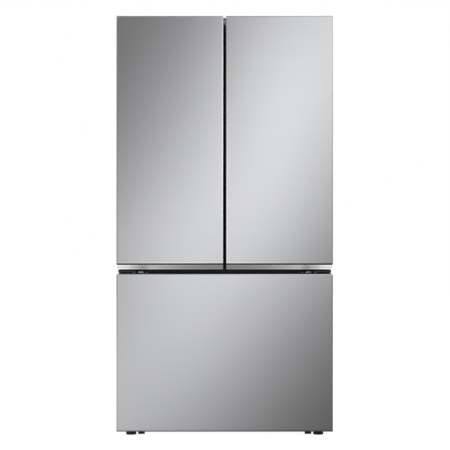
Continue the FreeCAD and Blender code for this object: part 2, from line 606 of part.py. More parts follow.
def bottom_cap_of(side, inset):
    """The door's lower cap, with the finger pocket behind the handle strip and the lower pin's bush."""
    cap = block(inset, (5, SIDE_RETURN), (CAP_BOTTOM, CORE_BOTTOM))
    strip_seat = block((-WIDTH, WIDTH), (0, 13), (DOOR_BOTTOM - 1, HANDLE_TOP + 0.5))
    lip_seat = block((-WIDTH, WIDTH), (0, 12), (PANEL_BOTTOM - 0.1, PANEL_BOTTOM + SHEET))
    corner_seat = block((-WIDTH, WIDTH), (0, SHEET + EDGE_RADIUS + 1), (PANEL_BOTTOM - 0.1, CORE_BOTTOM + 1))
    pocket = rounded(block(span(side, 34, 404), (17, 54), (DOOR_BOTTOM, 740)), 8, BACK, lambda p: p.z > 739)
    bush = rod(side * PIN_X, PIN_DEPTH, DOOR_BOTTOM, LOWER_PIN + RUNNING_GAP, 24)
    for cut in (strip_seat, lip_seat, corner_seat, pocket, bush):
        cap = cap.cut(cut)
    return cap


def handle_strip(x):
    """An extruded strip along the door's lower edge, its face hollowed so that fingers find it."""
    bar = rounded(block(x, (1.5, 13), (DOOR_BOTTOM, HANDLE_TOP)), 4, BACK, lambda p: p.z < DOOR_BOTTOM + 1)
    middle = (DOOR_BOTTOM + HANDLE_TOP) / 2
    half = (HANDLE_TOP - DOOR_BOTTOM) / 2 - 2
    sag = 1.4
    radius = (half * half + sag * sag) / (2 * sag)
    hollow = rod(x[0] - 1, 1.5 + sag - radius, middle, radius, x[1] - x[0] + 2, RIGHT)
    return bar.cut(hollow)


def liner_form(side, wall):
    """What lies in front of a door liner's surface, less a wall: a flat band for the gasket and a raised dike."""
    band = block(span(side, 6.5 + wall, 453 - wall), (SIDE_RETURN - (wall > 0), DOOR_BACK - wall),
                 (DOOR_BOTTOM + 3 + wall, 1763 - wall))
    dike = block(span(side, 37 + wall, 394 - wall), (DOOR_BACK - wall, DIKE_BACK - wall), (756 + wall, 1696 - wall))
    forms = [band, rounded(dike, 10 - wall, BACK)]
    if wall == 0:
        forms.append(rounded(block(span(side, 64, 366), (RECESS - LINER, SIDE_RETURN), (780, 1674)), 12, BACK))
    return fuse(forms).cut(recess(side, wall))


def recess(side, wall):
    """The space between a door's dikes, where the bins hang, grown by a wall."""
    space = block(span(side, 66 - wall, 364 + wall), (RECESS - wall, DIKE_BACK + 5), (782 - wall, 1672 + wall))
    return rounded(space, 10 + wall, BACK)


def flap_bracket(z, pin_end):
    """A lug on the left door's dike, with one of the flap's pivot pins running to pin_end."""
    lug = rounded(block((-38, -17), (98, 114), (z, z + 5)), 5, UP, lambda p: p.x > -20)
    lug = lug.fuse(block((-38, -31.5), (DOOR_BACK, 99), (z, z + 5)))
    low, high = min(z + 5, pin_end), max(z, pin_end)
    return fuse([lug, rod(FLAP_X, FLAP_DEPTH, low, FLAP_PIN, high - low)])


def door_bin(side, z):
    """A clear bin between the door's dikes, deeper at the front than the back."""
    body = tub(span(side, 66.5, 363.5), (66, 186), (z, z + 92), 2.5, 12)
    return body.cut(block(span(side, 60, 370), (183, 190), (z + 70, z + 95)))


def flap():
    """The flap between the doors, folded back into the cabinet as it stands when the left door swings."""
    post = rod(FLAP_X, FLAP_DEPTH, FLAP_Z[0], FLAP_RADIUS, FLAP_Z[1] - FLAP_Z[0])
    blade = block((FLAP_X - FLAP_RADIUS, FLAP_X + FLAP_RADIUS), (FLAP_DEPTH, FLAP_DEPTH + FLAP_REACH), FLAP_Z)
    blade = rounded(blade, 4, UP, lambda p: p.y > y_at(FLAP_DEPTH + 30))
    body = fuse([post, blade])
    for z in (FLAP_Z[0] - 1, FLAP_Z[1] - 19):
        body = body.cut(rod(FLAP_X, FLAP_DEPTH, z, FLAP_PIN + RUNNING_GAP, 20))
    knob = rod(FLAP_X, FLAP_DEPTH + 45, FLAP_Z[1] - 2, 5, 11)
    return {"mullion_flap": fuse([body, knob])}


def dairy_lid():
    """A lid over the right door's top bin. It tips up about its back edge."""
    x = (70.0, 360.0)
    top = block(x, (LID_DEPTH, 184), (LID_LEVEL - 1, LID_LEVEL + 1.5))
    front = block((x[0] + 10, x[1] - 10), (181.5, 184), (LID_LEVEL - 54, LID_LEVEL))
    barrel = rod(66.4, LID_DEPTH, LID_LEVEL, 4, 297.2, RIGHT)
    return {"dairy_lid": fuse([top, front, barrel])}


def drawer():
    """The freezer drawer's front: pressed steel, foam core, moulded back, grip channel along the top, gasket."""
    half = WIDTH / 2
    skin, space = pressed_front((-half, half), (DRAWER_BOTTOM, DRAWER_TOP), (12, TOP_LIP), DRAWER_TOP, top_corner=8)
    skin = skin.cut(block((8 - half, half - 8), (TOP_LIP, SIDE_RETURN + 1), (DRAWER_TOP - SHEET, DRAWER_TOP + 1)))
    cap = block((-half, half), (SHEET, SIDE_RETURN), (GRIP_FLOOR - 8, DRAWER_TOP)).common(space)
    cap = fuse([cap, block((8 - half, half - 8), (TOP_LIP, SIDE_RETURN), (DRAWER_TOP - SHEET, DRAWER_TOP))])
    cap = cap.cut(rounded(block((-404, 404), (17, 54), (GRIP_FLOOR, DRAWER_TOP + 1)), 8, BACK,
                          lambda p: p.z < GRIP_FLOOR + 1))

    outer = half - SHEET
    band = block((-outer, outer), (SIDE_RETURN, DOOR_BACK), (DRAWER_BOTTOM + 4, DRAWER_TOP - 3))
    hollow = block((LINER - outer, outer - LINER), (SIDE_RETURN - 1, DOOR_BACK - LINER),
                   (DRAWER_BOTTOM + 6, DRAWER_TOP - 5))
    plinth = rounded(block((-392, 392), (DOOR_BACK, PLINTH_BACK), (112, 640)), 12, BACK)
    plinth_space = block((-390, 390), (DOOR_BACK - LINER - 1, PLINTH_BACK - LINER), (114, 638))
    liner = fuse([band.cut(hollow), plinth]).cut(plinth_space)
    front = block((-half, half), (SHEET, SIDE_RETURN), (DRAWER_BOTTOM, GRIP_FLOOR - 8)).common(space)
    rear = fuse([hollow, plinth_space]).common(block((-half, half), (SIDE_RETURN, CASE_FRONT), (0, DRAWER_TOP)))
    gasket = ring((-PIN_X, PIN_X), (70, 686), 18, (DOOR_BACK, DOOR_BACK + SEAL))
    magnet = ring((6 - PIN_X, PIN_X - 6), (76, 680), 6, (DOOR_BACK + 3, DOOR_BACK + 7))
    return {
        "drawer_skin": skin, "drawer_top_cap": cap, "drawer_liner": liner, "drawer_core": fuse([front, rear]),
        "drawer_gasket": gasket.cut(magnet), **storage(), **slides(),
    }


def storage():
    """The vented basket behind the drawer's front, its sliding divider, and the shallow tray above."""
    basket = tub((-366, 366), (102, 422), (116, BASKET_RIM), 3, 24)
    rim = [block(span(side, 362, 372), (112, 412), (BASKET_RIM - 6, BASKET_RIM)) for side in (-1, 1)]
    side_slots = [rounded(block((-370, 370), (d, d + 10), (z, z + 44)), 4, RIGHT)
                  for d in range(140, 390, 24) for z in (180, 245, 310)]
    grips = block((-60, 60), (100, 110), (386, 404))
    basket = fuse([basket] + rim).cut(Part.makeCompound(side_slots)).cut(grips)

    blade = rounded(block((-2.5, 2.5), (106, 418), (119.5, 402)), 12, RIGHT)
    hooks = []
    for near, far, inside in ((98, 116, (106, 116)), (408, 426, (408, 418))):
        hooks.append(block((-9, 9), (near, far), (BASKET_RIM + 0.3, BASKET_RIM + 4)))
        hooks.append(block((-2.5, 2.5), inside, (388, BASKET_RIM + 4)))
    tray = tub((-364, 364), (104, 392), (TRAY_LEVEL, TRAY_LEVEL + 86), 3, 18)
    return {"freezer_basket": basket, "basket_divider": fuse([blade] + hooks), "freezer_tray": tray}


def slides():
    """The telescopic slides: channels on the cabinet, middle channels, and rails that carry the drawer."""
    rails, middles, fixed = [], [], []
    for side in (-1, 1):
        fixed.append(channel(side, (388, CAVITY_HALF), 22, SLIDE_LENGTH))
        middles.append(channel(side, (384.5, 396.5), 15.5, SLIDE_LENGTH - 12))
        inner = block(span(side, 380, 392.5), (PLINTH_BACK, 530), (SLIDE_LEVEL - 9.5, SLIDE_LEVEL + 9.5))
        hanger = block(span(side, 377, 380), (PLINTH_BACK, 530), (SLIDE_LEVEL - 20, TRAY_LEVEL))
        ledge = block(span(side, 352, 380), (PLINTH_BACK, 530), (TRAY_LEVEL - 3, TRAY_LEVEL))
        carrier = block(span(side, 366, 380), (PLINTH_BACK, 420), (BASKET_RIM - 9, BASKET_RIM - 6))
        web = block(span(side, 374, 380), (PLINTH_BACK, 420), (BASKET_RIM - 9, SLIDE_LEVEL - 20))
        rails.append(fuse([inner, hanger, ledge, carrier, web]))
    return {
        "drawer_slides": Part.makeCompound(rails), "middle_slides": Part.makeCompound(middles),
        "cabinet_slides": Part.makeCompound(fixed),
    }


def channel(side, x, half_height, length):
    """A slide member of C section, open towards the middle of the drawer."""
    z = (SLIDE_LEVEL - half_height, SLIDE_LEVEL + half_height)
    bar = block(span(side, *x), (SLIDE_FRONT, SLIDE_FRONT + length), z)
    hollow_half = half_height - 6 if half_height > 16 else half_height - 5.5
    hollow = block(span(side, x[0] - 1, x[1] - 3), (SLIDE_FRONT - 1, SLIDE_FRONT + length + 1),
                   (SLIDE_LEVEL - hollow_half, SLIDE_LEVEL + hollow_half))
    return bar.cut(hollow)


def main():
    """Makes every node and writes each to its own STEP file."""
    os.makedirs("parts", exist_ok=True)
    nodes = {
        **cabinet(), **base(), **hinges(), **machinery(), **interior(), **door(-1, "left"), **door(1, "right"),
        **flap(), **dairy_lid(), **drawer(),
    }
    for old in os.listdir("parts"):
        os.remove(os.path.join("parts", old))
    for name, shape in sorted(nodes.items()):
        if not shape.isValid():
            print("not valid:", name)
        shape.exportStep(f"parts/{name}.step")
    print(len(nodes), "nodes")


main()
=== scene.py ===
"""Looks of a french door refrigerator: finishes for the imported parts, added fittings, and a plain white studio."""

from __future__ import annotations

import json
import logging
import math
from dataclasses import dataclass, field
from enum import Enum
from typing import Callable, Iterable, Sequence

import bpy
from mathutils import Matrix, Vector


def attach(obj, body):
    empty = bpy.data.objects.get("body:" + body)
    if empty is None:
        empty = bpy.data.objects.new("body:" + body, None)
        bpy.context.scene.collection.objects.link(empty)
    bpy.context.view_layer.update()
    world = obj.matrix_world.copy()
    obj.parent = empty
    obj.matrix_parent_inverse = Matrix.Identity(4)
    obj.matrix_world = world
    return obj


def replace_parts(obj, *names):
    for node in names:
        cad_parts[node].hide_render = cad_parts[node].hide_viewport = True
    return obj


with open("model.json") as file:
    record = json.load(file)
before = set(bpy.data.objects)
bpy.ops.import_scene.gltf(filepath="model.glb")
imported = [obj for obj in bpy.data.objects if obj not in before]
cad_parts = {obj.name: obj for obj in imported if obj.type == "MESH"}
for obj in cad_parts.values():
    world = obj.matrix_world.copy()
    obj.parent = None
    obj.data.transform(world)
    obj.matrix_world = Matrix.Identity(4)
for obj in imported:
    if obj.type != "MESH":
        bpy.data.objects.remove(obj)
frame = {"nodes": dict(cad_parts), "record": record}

LOG = logging.getLogger("refrigerator")
MM = 0.001
HALF_DEPTH = 370.0


def at(x: float, depth: float, z: float) -> Vector:
    """A point of the frame in metres, from millimetres and a depth behind the door fronts.

    Args:
        x: Distance to the right of the middle.
        depth: Distance behind the door fronts.
        z: Height above the floor.

    Returns:
        The point.
    """
    return Vector((x * MM, (depth - HALF_DEPTH) * MM, z * MM))


# ---------------------------------------------------------------- shader graphs


class Wire:
    """A shader socket that takes part in Python sums, each of which adds a Math node."""

    def __init__(self, graph: "Graph", socket: bpy.types.NodeSocket) -> None:
        """Keeps the graph and the socket."""
        self.graph = graph
        self.socket = socket

    def join(self, operation: str, first: object, second: object = 0.0) -> "Wire":
        """Adds a Math node.

        Args:
            operation: The Math node's operation.
            first: A wire or a number.
            second: A wire or a number.

        Returns:
            The node's result.
        """
        return self.graph.add("ShaderNodeMath", {0: first, 1: second}, operation=operation)

    def __add__(self, other: object) -> "Wire":
        """Sum."""
        return self.join("ADD", self, other)

    __radd__ = __add__

    def __sub__(self, other: object) -> "Wire":
        """Difference."""
        return self.join("SUBTRACT", self, other)

    def __rsub__(self, other: object) -> "Wire":
        """Difference, the other way round."""
        return self.join("SUBTRACT", other, self)

    def __mul__(self, other: object) -> "Wire":
        """Product."""
        return self.join("MULTIPLY", self, other)

    __rmul__ = __mul__

    def __truediv__(self, other: object) -> "Wire":
        """Quotient."""
        return self.join("DIVIDE", self, other)

    def __pow__(self, other: object) -> "Wire":
        """Power."""
        return self.join("POWER", self, other)

    def __gt__(self, other: object) -> "Wire":
        """1 where this is more, else 0."""
        return self.join("GREATER_THAN", self, other)

    def size(self) -> "Wire":
        """The absolute value."""
        return self.join("ABSOLUTE", self)

    def smooth(self, low: float, high: float) -> "Wire":
        """A smooth step.

        Args:
            low: Where the step starts.
            high: Where it ends.

        Returns:
            0 below low, 1 above high, and a smooth rise between them.
        """
        values = {"Value": self, "From Min": low, "From Max": high}
        return self.graph.add("ShaderNodeMapRange", values, interpolation_type="SMOOTHSTEP")


class Graph:
    """The node tree of one material, with its output and, for a surface, a Principled shader."""

    def __init__(self, name: str) -> None:
        """Makes the material and its tree.

        Args:
            name: The material's name.
        """
        self.material = bpy.data.materials.new(name)
        self.material.use_nodes = True
        self.tree = self.material.node_tree
        self.tree.nodes.clear()
        self.output = self.tree.nodes.new("ShaderNodeOutputMaterial")
        self.shader: bpy.types.Node | None = None

    def add(self, kind: str, values: dict, out: str | int = 0, **settings: object) -> Wire:
        """Adds a node.

        Args:
            kind: The node's type.
            values: Numbers, colours or wires for its inputs, by name or place.
            out: The output that is wanted.
            **settings: The node's own settings; stops is a colour ramp's list of (place, value).

        Returns:
            The wanted output.
        """
        node = self.tree.nodes.new(kind)
        for key, value in settings.items():
            if key == "stops":
                ramp = node.color_ramp
                for place, _ in value[2:]:
                    ramp.elements.new(place)
                for element, (place, shade) in zip(ramp.elements, value):
                    element.position = place
                    element.color = (shade, shade, shade, 1.0)
            else:
                setattr(node, key, value)
        for key, value in values.items():
            self.plug(node.inputs[key], value)
        return Wire(self, node.outputs[out])

    def plug(self, socket: bpy.types.NodeSocket, value: object) -> None:
        """Gives a socket a value or a link.

        Args:
            socket: The input socket.
            value: A wire, a number or a colour.
        """
        if isinstance(value, Wire):
            self.tree.links.new(value.socket, socket)
        else:
            socket.default_value = value

    def surface(self, **constants: object) -> None:
        """Adds the Principled shader.

        Args:
            **constants: Values for its sockets, with underscores for the spaces in their names.
        """
        self.shader = self.tree.nodes.new("ShaderNodeBsdfPrincipled")
        self.tree.links.new(self.shader.outputs[0], self.output.inputs["Surface"])
        for key, value in constants.items():
            self.put(key.replace("_", " "), value)

    def put(self, name: str, value: object) -> None:
        """Sets or links one socket of the Principled shader."""
        self.plug(self.shader.inputs[name], value)

    def place(self, scale: Sequence[float] = (1, 1, 1)) -> Wire:
        """The object's own coordinates, scaled.

        Args:
            scale: How much each axis is stretched; a larger number gives finer pattern.

        Returns:
            The scaled coordinates.
        """
        here = self.add("ShaderNodeTexCoord", {}, "Object")
        return self.add("ShaderNodeMapping", {"Vector": here, "Scale": scale})

    def axis(self, letter: str) -> Wire:
        """One of the object's own coordinates, in metres: X, Y or Z."""
        return self.add("ShaderNodeSeparateXYZ", {0: self.add("ShaderNodeTexCoord", {}, "Object")}, letter)

    def noise(self, scale: Sequence[float], detail: float = 2.0) -> Wire:
        """Fractal noise over the object's coordinates.

        Args:
            scale: Pattern periods per metre along each axis.
            detail: Octaves.

        Returns:
            The noise, about 0.5 on average.
        """
        return self.add("ShaderNodeTexNoise", {"Vector": self.place(scale), "Scale": 1.0, "Detail": detail})

    def tint(self, factor: Wire, dark: Sequence[float], light: Sequence[float]) -> Wire:
        """A colour between two.

        Args:
            factor: 0 for dark, 1 for light.
            dark: The first colour.
            light: The second colour.

        Returns:
            The mixed colour.
        """
        return self.mix(factor, (*dark, 1.0), (*light, 1.0))

    def mix(self, factor: Wire, first: object, second: object) -> Wire:
        """Mixes two colours, either of which may be a wire.

        Args:
            factor: 0 for the first, 1 for the second.
            first: A wire or a colour with its alpha.
            second: A wire or a colour with its alpha.

        Returns:
            The mixed colour.
        """
        return self.add("ShaderNodeMix", {0: factor, 6: first, 7: second}, 2, data_type="RGBA")

    def bump(self, height: Wire, strength: float, distance: float) -> None:
        """Feeds the shader's Normal from a height.

        Args:
            height: The height, 0 to 1.
            strength: How much of it shows.
            distance: The height's range in metres.
        """
        values = {"Height": height, "Strength": strength, "Distance": distance}
        self.put("Normal", self.add("ShaderNodeBump", values))


Colour = tuple[float, float, float]


def shade(colour: Colour, factor: float) -> Colour:
    """A colour made lighter or darker by a factor."""
    return tuple(min(1.0, channel * factor) for channel in colour)


@dataclass(frozen=True)
class Finish:
    """A surface finish: its name, its record slot and its main colour."""

    name: str
    slot: str
    colour: Colour

    def paint(self, graph: Graph) -> None:
        """Builds the surface in the graph."""
        raise NotImplementedError

    def material(self) -> bpy.types.Material:
        """The finish's material, made on first use."""
        known = bpy.data.materials.get(self.name)
        if known:
            return known
        graph = Graph(self.name)
        self.paint(graph)
        return graph.material


@dataclass(frozen=True)
class BrushedSteel(Finish):
    """Stainless sheet with a fine horizontal grain, smoother folds on the doors with a painted highlight, and painted
    shade on its lowest edge.
    """

    # Where the painted highlight lies: next to the slot, along the doors' lower edge, only on the doors and only on
    # their front faces.
    fold_x: tuple[float, float] = (0.0100, 0.0128)
    fold_z: tuple[float, float] = (0.7360, 0.7395)
    door_from: float = 0.72
    # The painted shade's band on the lowest edge, and how dark it makes the steel.
    foot_z: tuple[float, float] = (0.0345, 0.0375)
    foot_shade: float = 0.7
    front_y: tuple[float, float] = (-0.3668, -0.3662)

    def paint(self, graph: Graph) -> None:
        """Grain in colour, roughness and height, with the painted highlight on the door folds and the painted shade
        on the lowest edge.
        """
        graph.surface(Metallic=1.0, Anisotropic=0.3)
        fine = graph.noise((7.0, 40.0, 1500.0), 3.0)
        broad = graph.noise((2.2, 20.0, 260.0), 2.0)
        cloud = graph.noise((2.0, 2.0, 2.4), 2.0)
        grain = fine * 0.5 + broad * 0.3 + cloud * 0.2
        colour = graph.tint(grain.smooth(0.2, 0.8), shade(self.colour, 0.97), shade(self.colour, 1.03))

        across, height = graph.axis("X").size(), graph.axis("Z")
        # Painted shade: the steel's lowest few millimetres, the drawer's lower fold, are darkened by a fixed factor.
        # The sheet is not darker there, and this stands in for the dark it mirrors.
        colour = graph.mix(1 - height.smooth(*self.foot_z), colour, (*shade(self.colour, self.foot_shade), 1.0))
        behind = graph.axis("Y").smooth(*self.front_y)
        # Painted highlight: next to the slot and along the doors' lower edge, the front steel turns near-white and
        # less rough. The near-white stands in for the bright line that these folds reflect.
        on_door = height > self.door_from
        side_highlight = 1 - across.smooth(*self.fold_x)
        low_highlight = 1 - height.smooth(*self.fold_z)
        fold_highlight = graph.add("ShaderNodeMath", {0: side_highlight, 1: low_highlight}, operation="MAXIMUM") * on_door * (1 - behind)
        graph.put("Base Color", graph.mix(fold_highlight, colour, (0.98, 0.98, 0.985, 1.0)))
        graph.put("Roughness", (0.25 + fine * 0.06 + cloud * 0.04) * (1 - fold_highlight * 0.4))
        graph.bump(fine * 0.7 + broad * 0.3, 0.1, 0.0001)


@dataclass(frozen=True)
class SatinExtrusion(Finish):
    """Anodised aluminium with faint draw lines along its length."""

    roughness: float = 0.1

    def paint(self, graph: Graph) -> None:
        """Draw lines in colour and roughness."""
        graph.surface(Metallic=1.0)
        lines = graph.noise((3.0, 900.0, 900.0), 2.0)
        graph.put("Base Color", graph.tint(lines, shade(self.colour, 0.96), shade(self.colour, 1.04)))
        graph.put("Roughness", self.roughness + lines * 0.08)
        graph.bump(lines, 0.06, 0.00006)


@dataclass(frozen=True)
class TexturedPaint(Finish):
    """Baked paint with a fine pebbled texture."""

    pebble: float = 520.0
    roughness: float = 0.42

    def paint(self, graph: Graph) -> None:
        """Pebbles in height, and slow changes of tone and gloss."""
        graph.surface(Specular_IOR_Level=0.45)
        pebbles = graph.noise((self.pebble,) * 3, 3.0)
        cloud = graph.noise((3.0, 3.0, 3.0), 3.0)
        tone = pebbles * 0.6 + cloud * 0.4
        graph.put("Base Color", graph.tint(tone.smooth(0.3, 0.7), shade(self.colour, 0.93), shade(self.colour, 1.06)))
        graph.put("Roughness", self.roughness + (cloud - 0.5) * 0.15)
        graph.bump(pebbles, 0.35, 0.0006)


@dataclass(frozen=True)
class ZincSheet(Finish):
    """Galvanised sheet with its spangle of grey flakes."""

    flake: float = 70.0

    def paint(self, graph: Graph) -> None:
        """Flakes of different grey and gloss."""
        graph.surface(Metallic=0.85)
        flakes = graph.add(
            "ShaderNodeTexVoronoi", {"Vector": graph.place((self.flake,) * 3), "Scale": 1.0}, "Color")
        value = graph.add("ShaderNodeSeparateXYZ", {0: flakes}, "X")
        soil = graph.noise((4.0, 4.0, 4.0), 4.0)
        wear = value * 0.6 + soil * 0.4
        graph.put("Base Color", graph.tint(wear, shade(self.colour, 0.78), shade(self.colour, 1.1)))
        graph.put("Roughness", 0.34 + value * 0.16 + soil * 0.08)
        graph.bump(soil, 0.1, 0.001)


@dataclass(frozen=True)
class Plating(Finish):
    """Bright zinc or chrome plate with light handling marks."""

    roughness: float = 0.2

    def paint(self, graph: Graph) -> None:
        """Marks in gloss, and a faint stain."""
        graph.surface(Metallic=1.0)
        marks = graph.noise((90.0, 90.0, 400.0), 4.0)
        stain = graph.noise((12.0, 12.0, 12.0), 2.0)
        graph.put("Base Color", graph.tint(stain, shade(self.colour, 0.85), shade(self.colour, 1.05)))
        graph.put("Roughness", self.roughness + marks * 0.15)
        graph.bump(marks, 0.08, 0.0002)


@dataclass(frozen=True)
class Moulding(Finish):
    """Moulded plastic with a spark-eroded grain, from fine and glossy to coarse and dull."""

    grain: float = 900.0
    depth: float = 0.0002
    roughness: float = 0.5
    coat: float = 0.0

    def paint(self, graph: Graph) -> None:
        """Grain in height, with a little change of tone."""
        graph.surface(Coat_Roughness=0.12, Coat_Weight=self.coat)
        cells = graph.add(
            "ShaderNodeTexVoronoi", {"Vector": graph.place((self.grain,) * 3), "Scale": 1.0}, "Distance")
        cloud = graph.noise((6.0, 6.0, 6.0), 3.0)
        tone = cells * 0.4 + cloud * 0.6
        graph.put("Base Color", graph.tint(tone.smooth(0.2, 0.8), shade(self.colour, 0.94), shade(self.colour, 1.05)))
        graph.put("Roughness", self.roughness + (cloud - 0.5) * 0.12)
        graph.bump(cells, 0.25, self.depth)


@dataclass(frozen=True)
class DoorLiner(Moulding):
    """A door's white liner, whose outer rim is grey like the case."""

    rim_from: tuple[float, float] = (0.4405, 0.4425)
    rim_top: tuple[float, float] = (1.7500, 1.7520)
    rim: Colour = (0.30, 0.305, 0.315)

    def paint(self, graph: Graph) -> None:
        """The moulding's grain, with the grey rim at the sides and the top."""
        super().paint(graph)
        white = Wire(graph, graph.shader.inputs["Base Color"].links[0].from_socket)
        side = graph.axis("X").size().smooth(*self.rim_from)
        top = graph.axis("Z").smooth(*self.rim_top)
        edge = graph.add("ShaderNodeMath", {0: side, 1: top}, operation="MAXIMUM")
        graph.put("Base Color", graph.mix(edge, white, (*self.rim, 1.0)))


@dataclass(frozen=True)
class SoftSeal(Finish):
    """Soft vinyl gasket with dust in its folds."""

    def paint(self, graph: Graph) -> None:
        """Dull, with paler dust."""
        graph.surface(Specular_IOR_Level=0.35)
        dust = graph.noise((30.0, 30.0, 30.0), 4.0)
        dusty = dust.smooth(0.35, 0.8)
        graph.put("Base Color", graph.tint(dusty, shade(self.colour, 0.85), shade(self.colour, 1.25)))
        graph.put("Roughness", 0.55 + dust * 0.2)
        graph.bump(dust, 0.15, 0.0004)


@dataclass(frozen=True)
class ClearMoulding(Finish):
    """Clear plastic: seen through, with pale edges and a soft gloss."""

    body: float = 0.16
    rim: float = 0.55

    def paint(self, graph: Graph) -> None:
        """More opaque where it is seen edge on."""
        graph.surface(IOR=1.5, Specular_IOR_Level=0.6)
        flow = graph.noise((14.0, 14.0, 14.0), 3.0)
        edge = graph.add("ShaderNodeLayerWeight", {"Blend": 0.35}, "Facing")
        graph.put("Base Color", graph.tint(flow, shade(self.colour, 0.96), shade(self.colour, 1.03)))
        graph.put("Roughness", 0.08 + flow * 0.08)
        graph.put("Alpha", self.body + (edge ** 2.0) * self.rim)


@dataclass(frozen=True)
class Pane(Finish):
    """Toughened glass with green ground edges."""

    edge_colour: Colour = (0.30, 0.62, 0.52)

    def paint(self, graph: Graph) -> None:
        """The faces are nearly clear, and the edges are green and dull."""
        graph.surface(IOR=1.5, Specular_IOR_Level=0.7)
        normal = graph.add("ShaderNodeNewGeometry", {}, "Normal")
        upright = graph.add("ShaderNodeSeparateXYZ", {0: normal}, "Z").size()
        edge = 1 - upright.smooth(0.3, 0.8)
        facing = graph.add("ShaderNodeLayerWeight", {"Blend": 0.3}, "Facing")
        smear = graph.noise((9.0, 9.0, 9.0), 4.0)
        graph.put("Base Color", graph.tint(edge, self.colour, self.edge_colour))
        graph.put("Roughness", 0.04 + edge * 0.3 + smear * 0.04)
        graph.put("Alpha", 0.12 + edge * 0.6 + (facing ** 2.0) * 0.35)


@dataclass(frozen=True)
class Lens(Finish):
    """The milky cover of a lamp, with fine prisms."""

    def paint(self, graph: Graph) -> None:
        """Prisms in height and tone."""
        graph.surface(Subsurface_Weight=0.0)
        prisms = graph.add("ShaderNodeTexWave", {"Vector": graph.place((1, 1, 1)), "Scale": 160.0}, "Fac")
        graph.put("Base Color", graph.tint(prisms, shade(self.colour, 0.93), self.colour))
        graph.put("Roughness", 0.25 + prisms * 0.1)
        graph.bump(prisms, 0.3, 0.0006)


class Look(Enum):
    """Every finish that the refrigerator uses."""

    STEEL = BrushedSteel("brushed_stainless", "stainless", (0.70, 0.705, 0.72))
    HANDLE = SatinExtrusion("satin_handle", "handle_metal", (0.78, 0.79, 0.80))
    CASE = TexturedPaint("case_grey_paint", "case_paint", (0.23, 0.235, 0.245))
    BRACKET = TexturedPaint("bracket_paint", "bracket_steel", (0.03, 0.031, 0.033), 700.0, 0.42)
    ENAMEL = TexturedPaint("compressor_enamel", "black_paint", (0.02, 0.02, 0.022), 240.0, 0.28)
    ZINC = ZincSheet("galvanised_sheet", "zinc_sheet", (0.52, 0.53, 0.54))
    PLATE = Plating("bright_plate", "bright_steel", (0.76, 0.77, 0.78))
    COPPER = Plating("copper_tube", "bright_steel", (0.72, 0.36, 0.20), 0.26)
    FIN = Plating("bare_fins", "fin_aluminium", (0.72, 0.73, 0.74), 0.3)
    LINER = Moulding("white_liner", "liner_white", (0.84, 0.85, 0.865), 500.0, 0.00012, 0.24, 0.25)
    RIMMED = DoorLiner("rimmed_door_liner", "liner_white", (0.84, 0.85, 0.865), 500.0, 0.00012, 0.24, 0.25)
    WHITE = Moulding("white_moulding", "white_plastic", (0.80, 0.81, 0.82), 900.0, 0.00015, 0.38)
    CAP = Moulding("dark_cap_moulding", "cap_plastic", (0.045, 0.046, 0.05), 1100.0, 0.0002, 0.5)
    BLACK = Moulding("black_moulding", "black_plastic", (0.018, 0.018, 0.02), 1000.0, 0.0002, 0.42)
    NYLON = Moulding("dark_nylon", "nylon", (0.009, 0.009, 0.010), 600.0, 0.0003, 0.5)
    FOAM = Moulding("rigid_foam", "foam", (0.82, 0.72, 0.46), 260.0, 0.001, 0.85)
    SEAL = SoftSeal("grey_gasket", "seal_rubber", (0.16, 0.16, 0.165))
    # Painted shade: a near-black seal finish for the fins in the slot between the doors, which stands in for the
    # shade there.
    SLOT_SHADE_FIN = SoftSeal("slot_shade_fin", "seal_rubber", (0.01, 0.01, 0.011))
    CLEAR = ClearMoulding("clear_moulding", "clear_plastic", (0.86, 0.91, 0.95))
    PANE = Pane("shelf_pane", "shelf_glass", (0.86, 0.95, 0.93))
    LENS = Lens("lamp_lens", "white_plastic", (0.93, 0.94, 0.95))

    def cover(self, piece: bpy.types.Object) -> None:
        """Gives a piece this finish.

        Args:
            piece: A mesh object.
        """
        piece.data.materials.clear()
        piece.data.materials.append(self.value.material())


SLOT_LOOK = {
    look.value.slot: look for look in reversed(Look)
    if look not in (Look.COPPER, Look.LENS, Look.SLOT_SHADE_FIN, Look.RIMMED)
}


# ---------------------------------------------------------------- the bench: modelling by hand


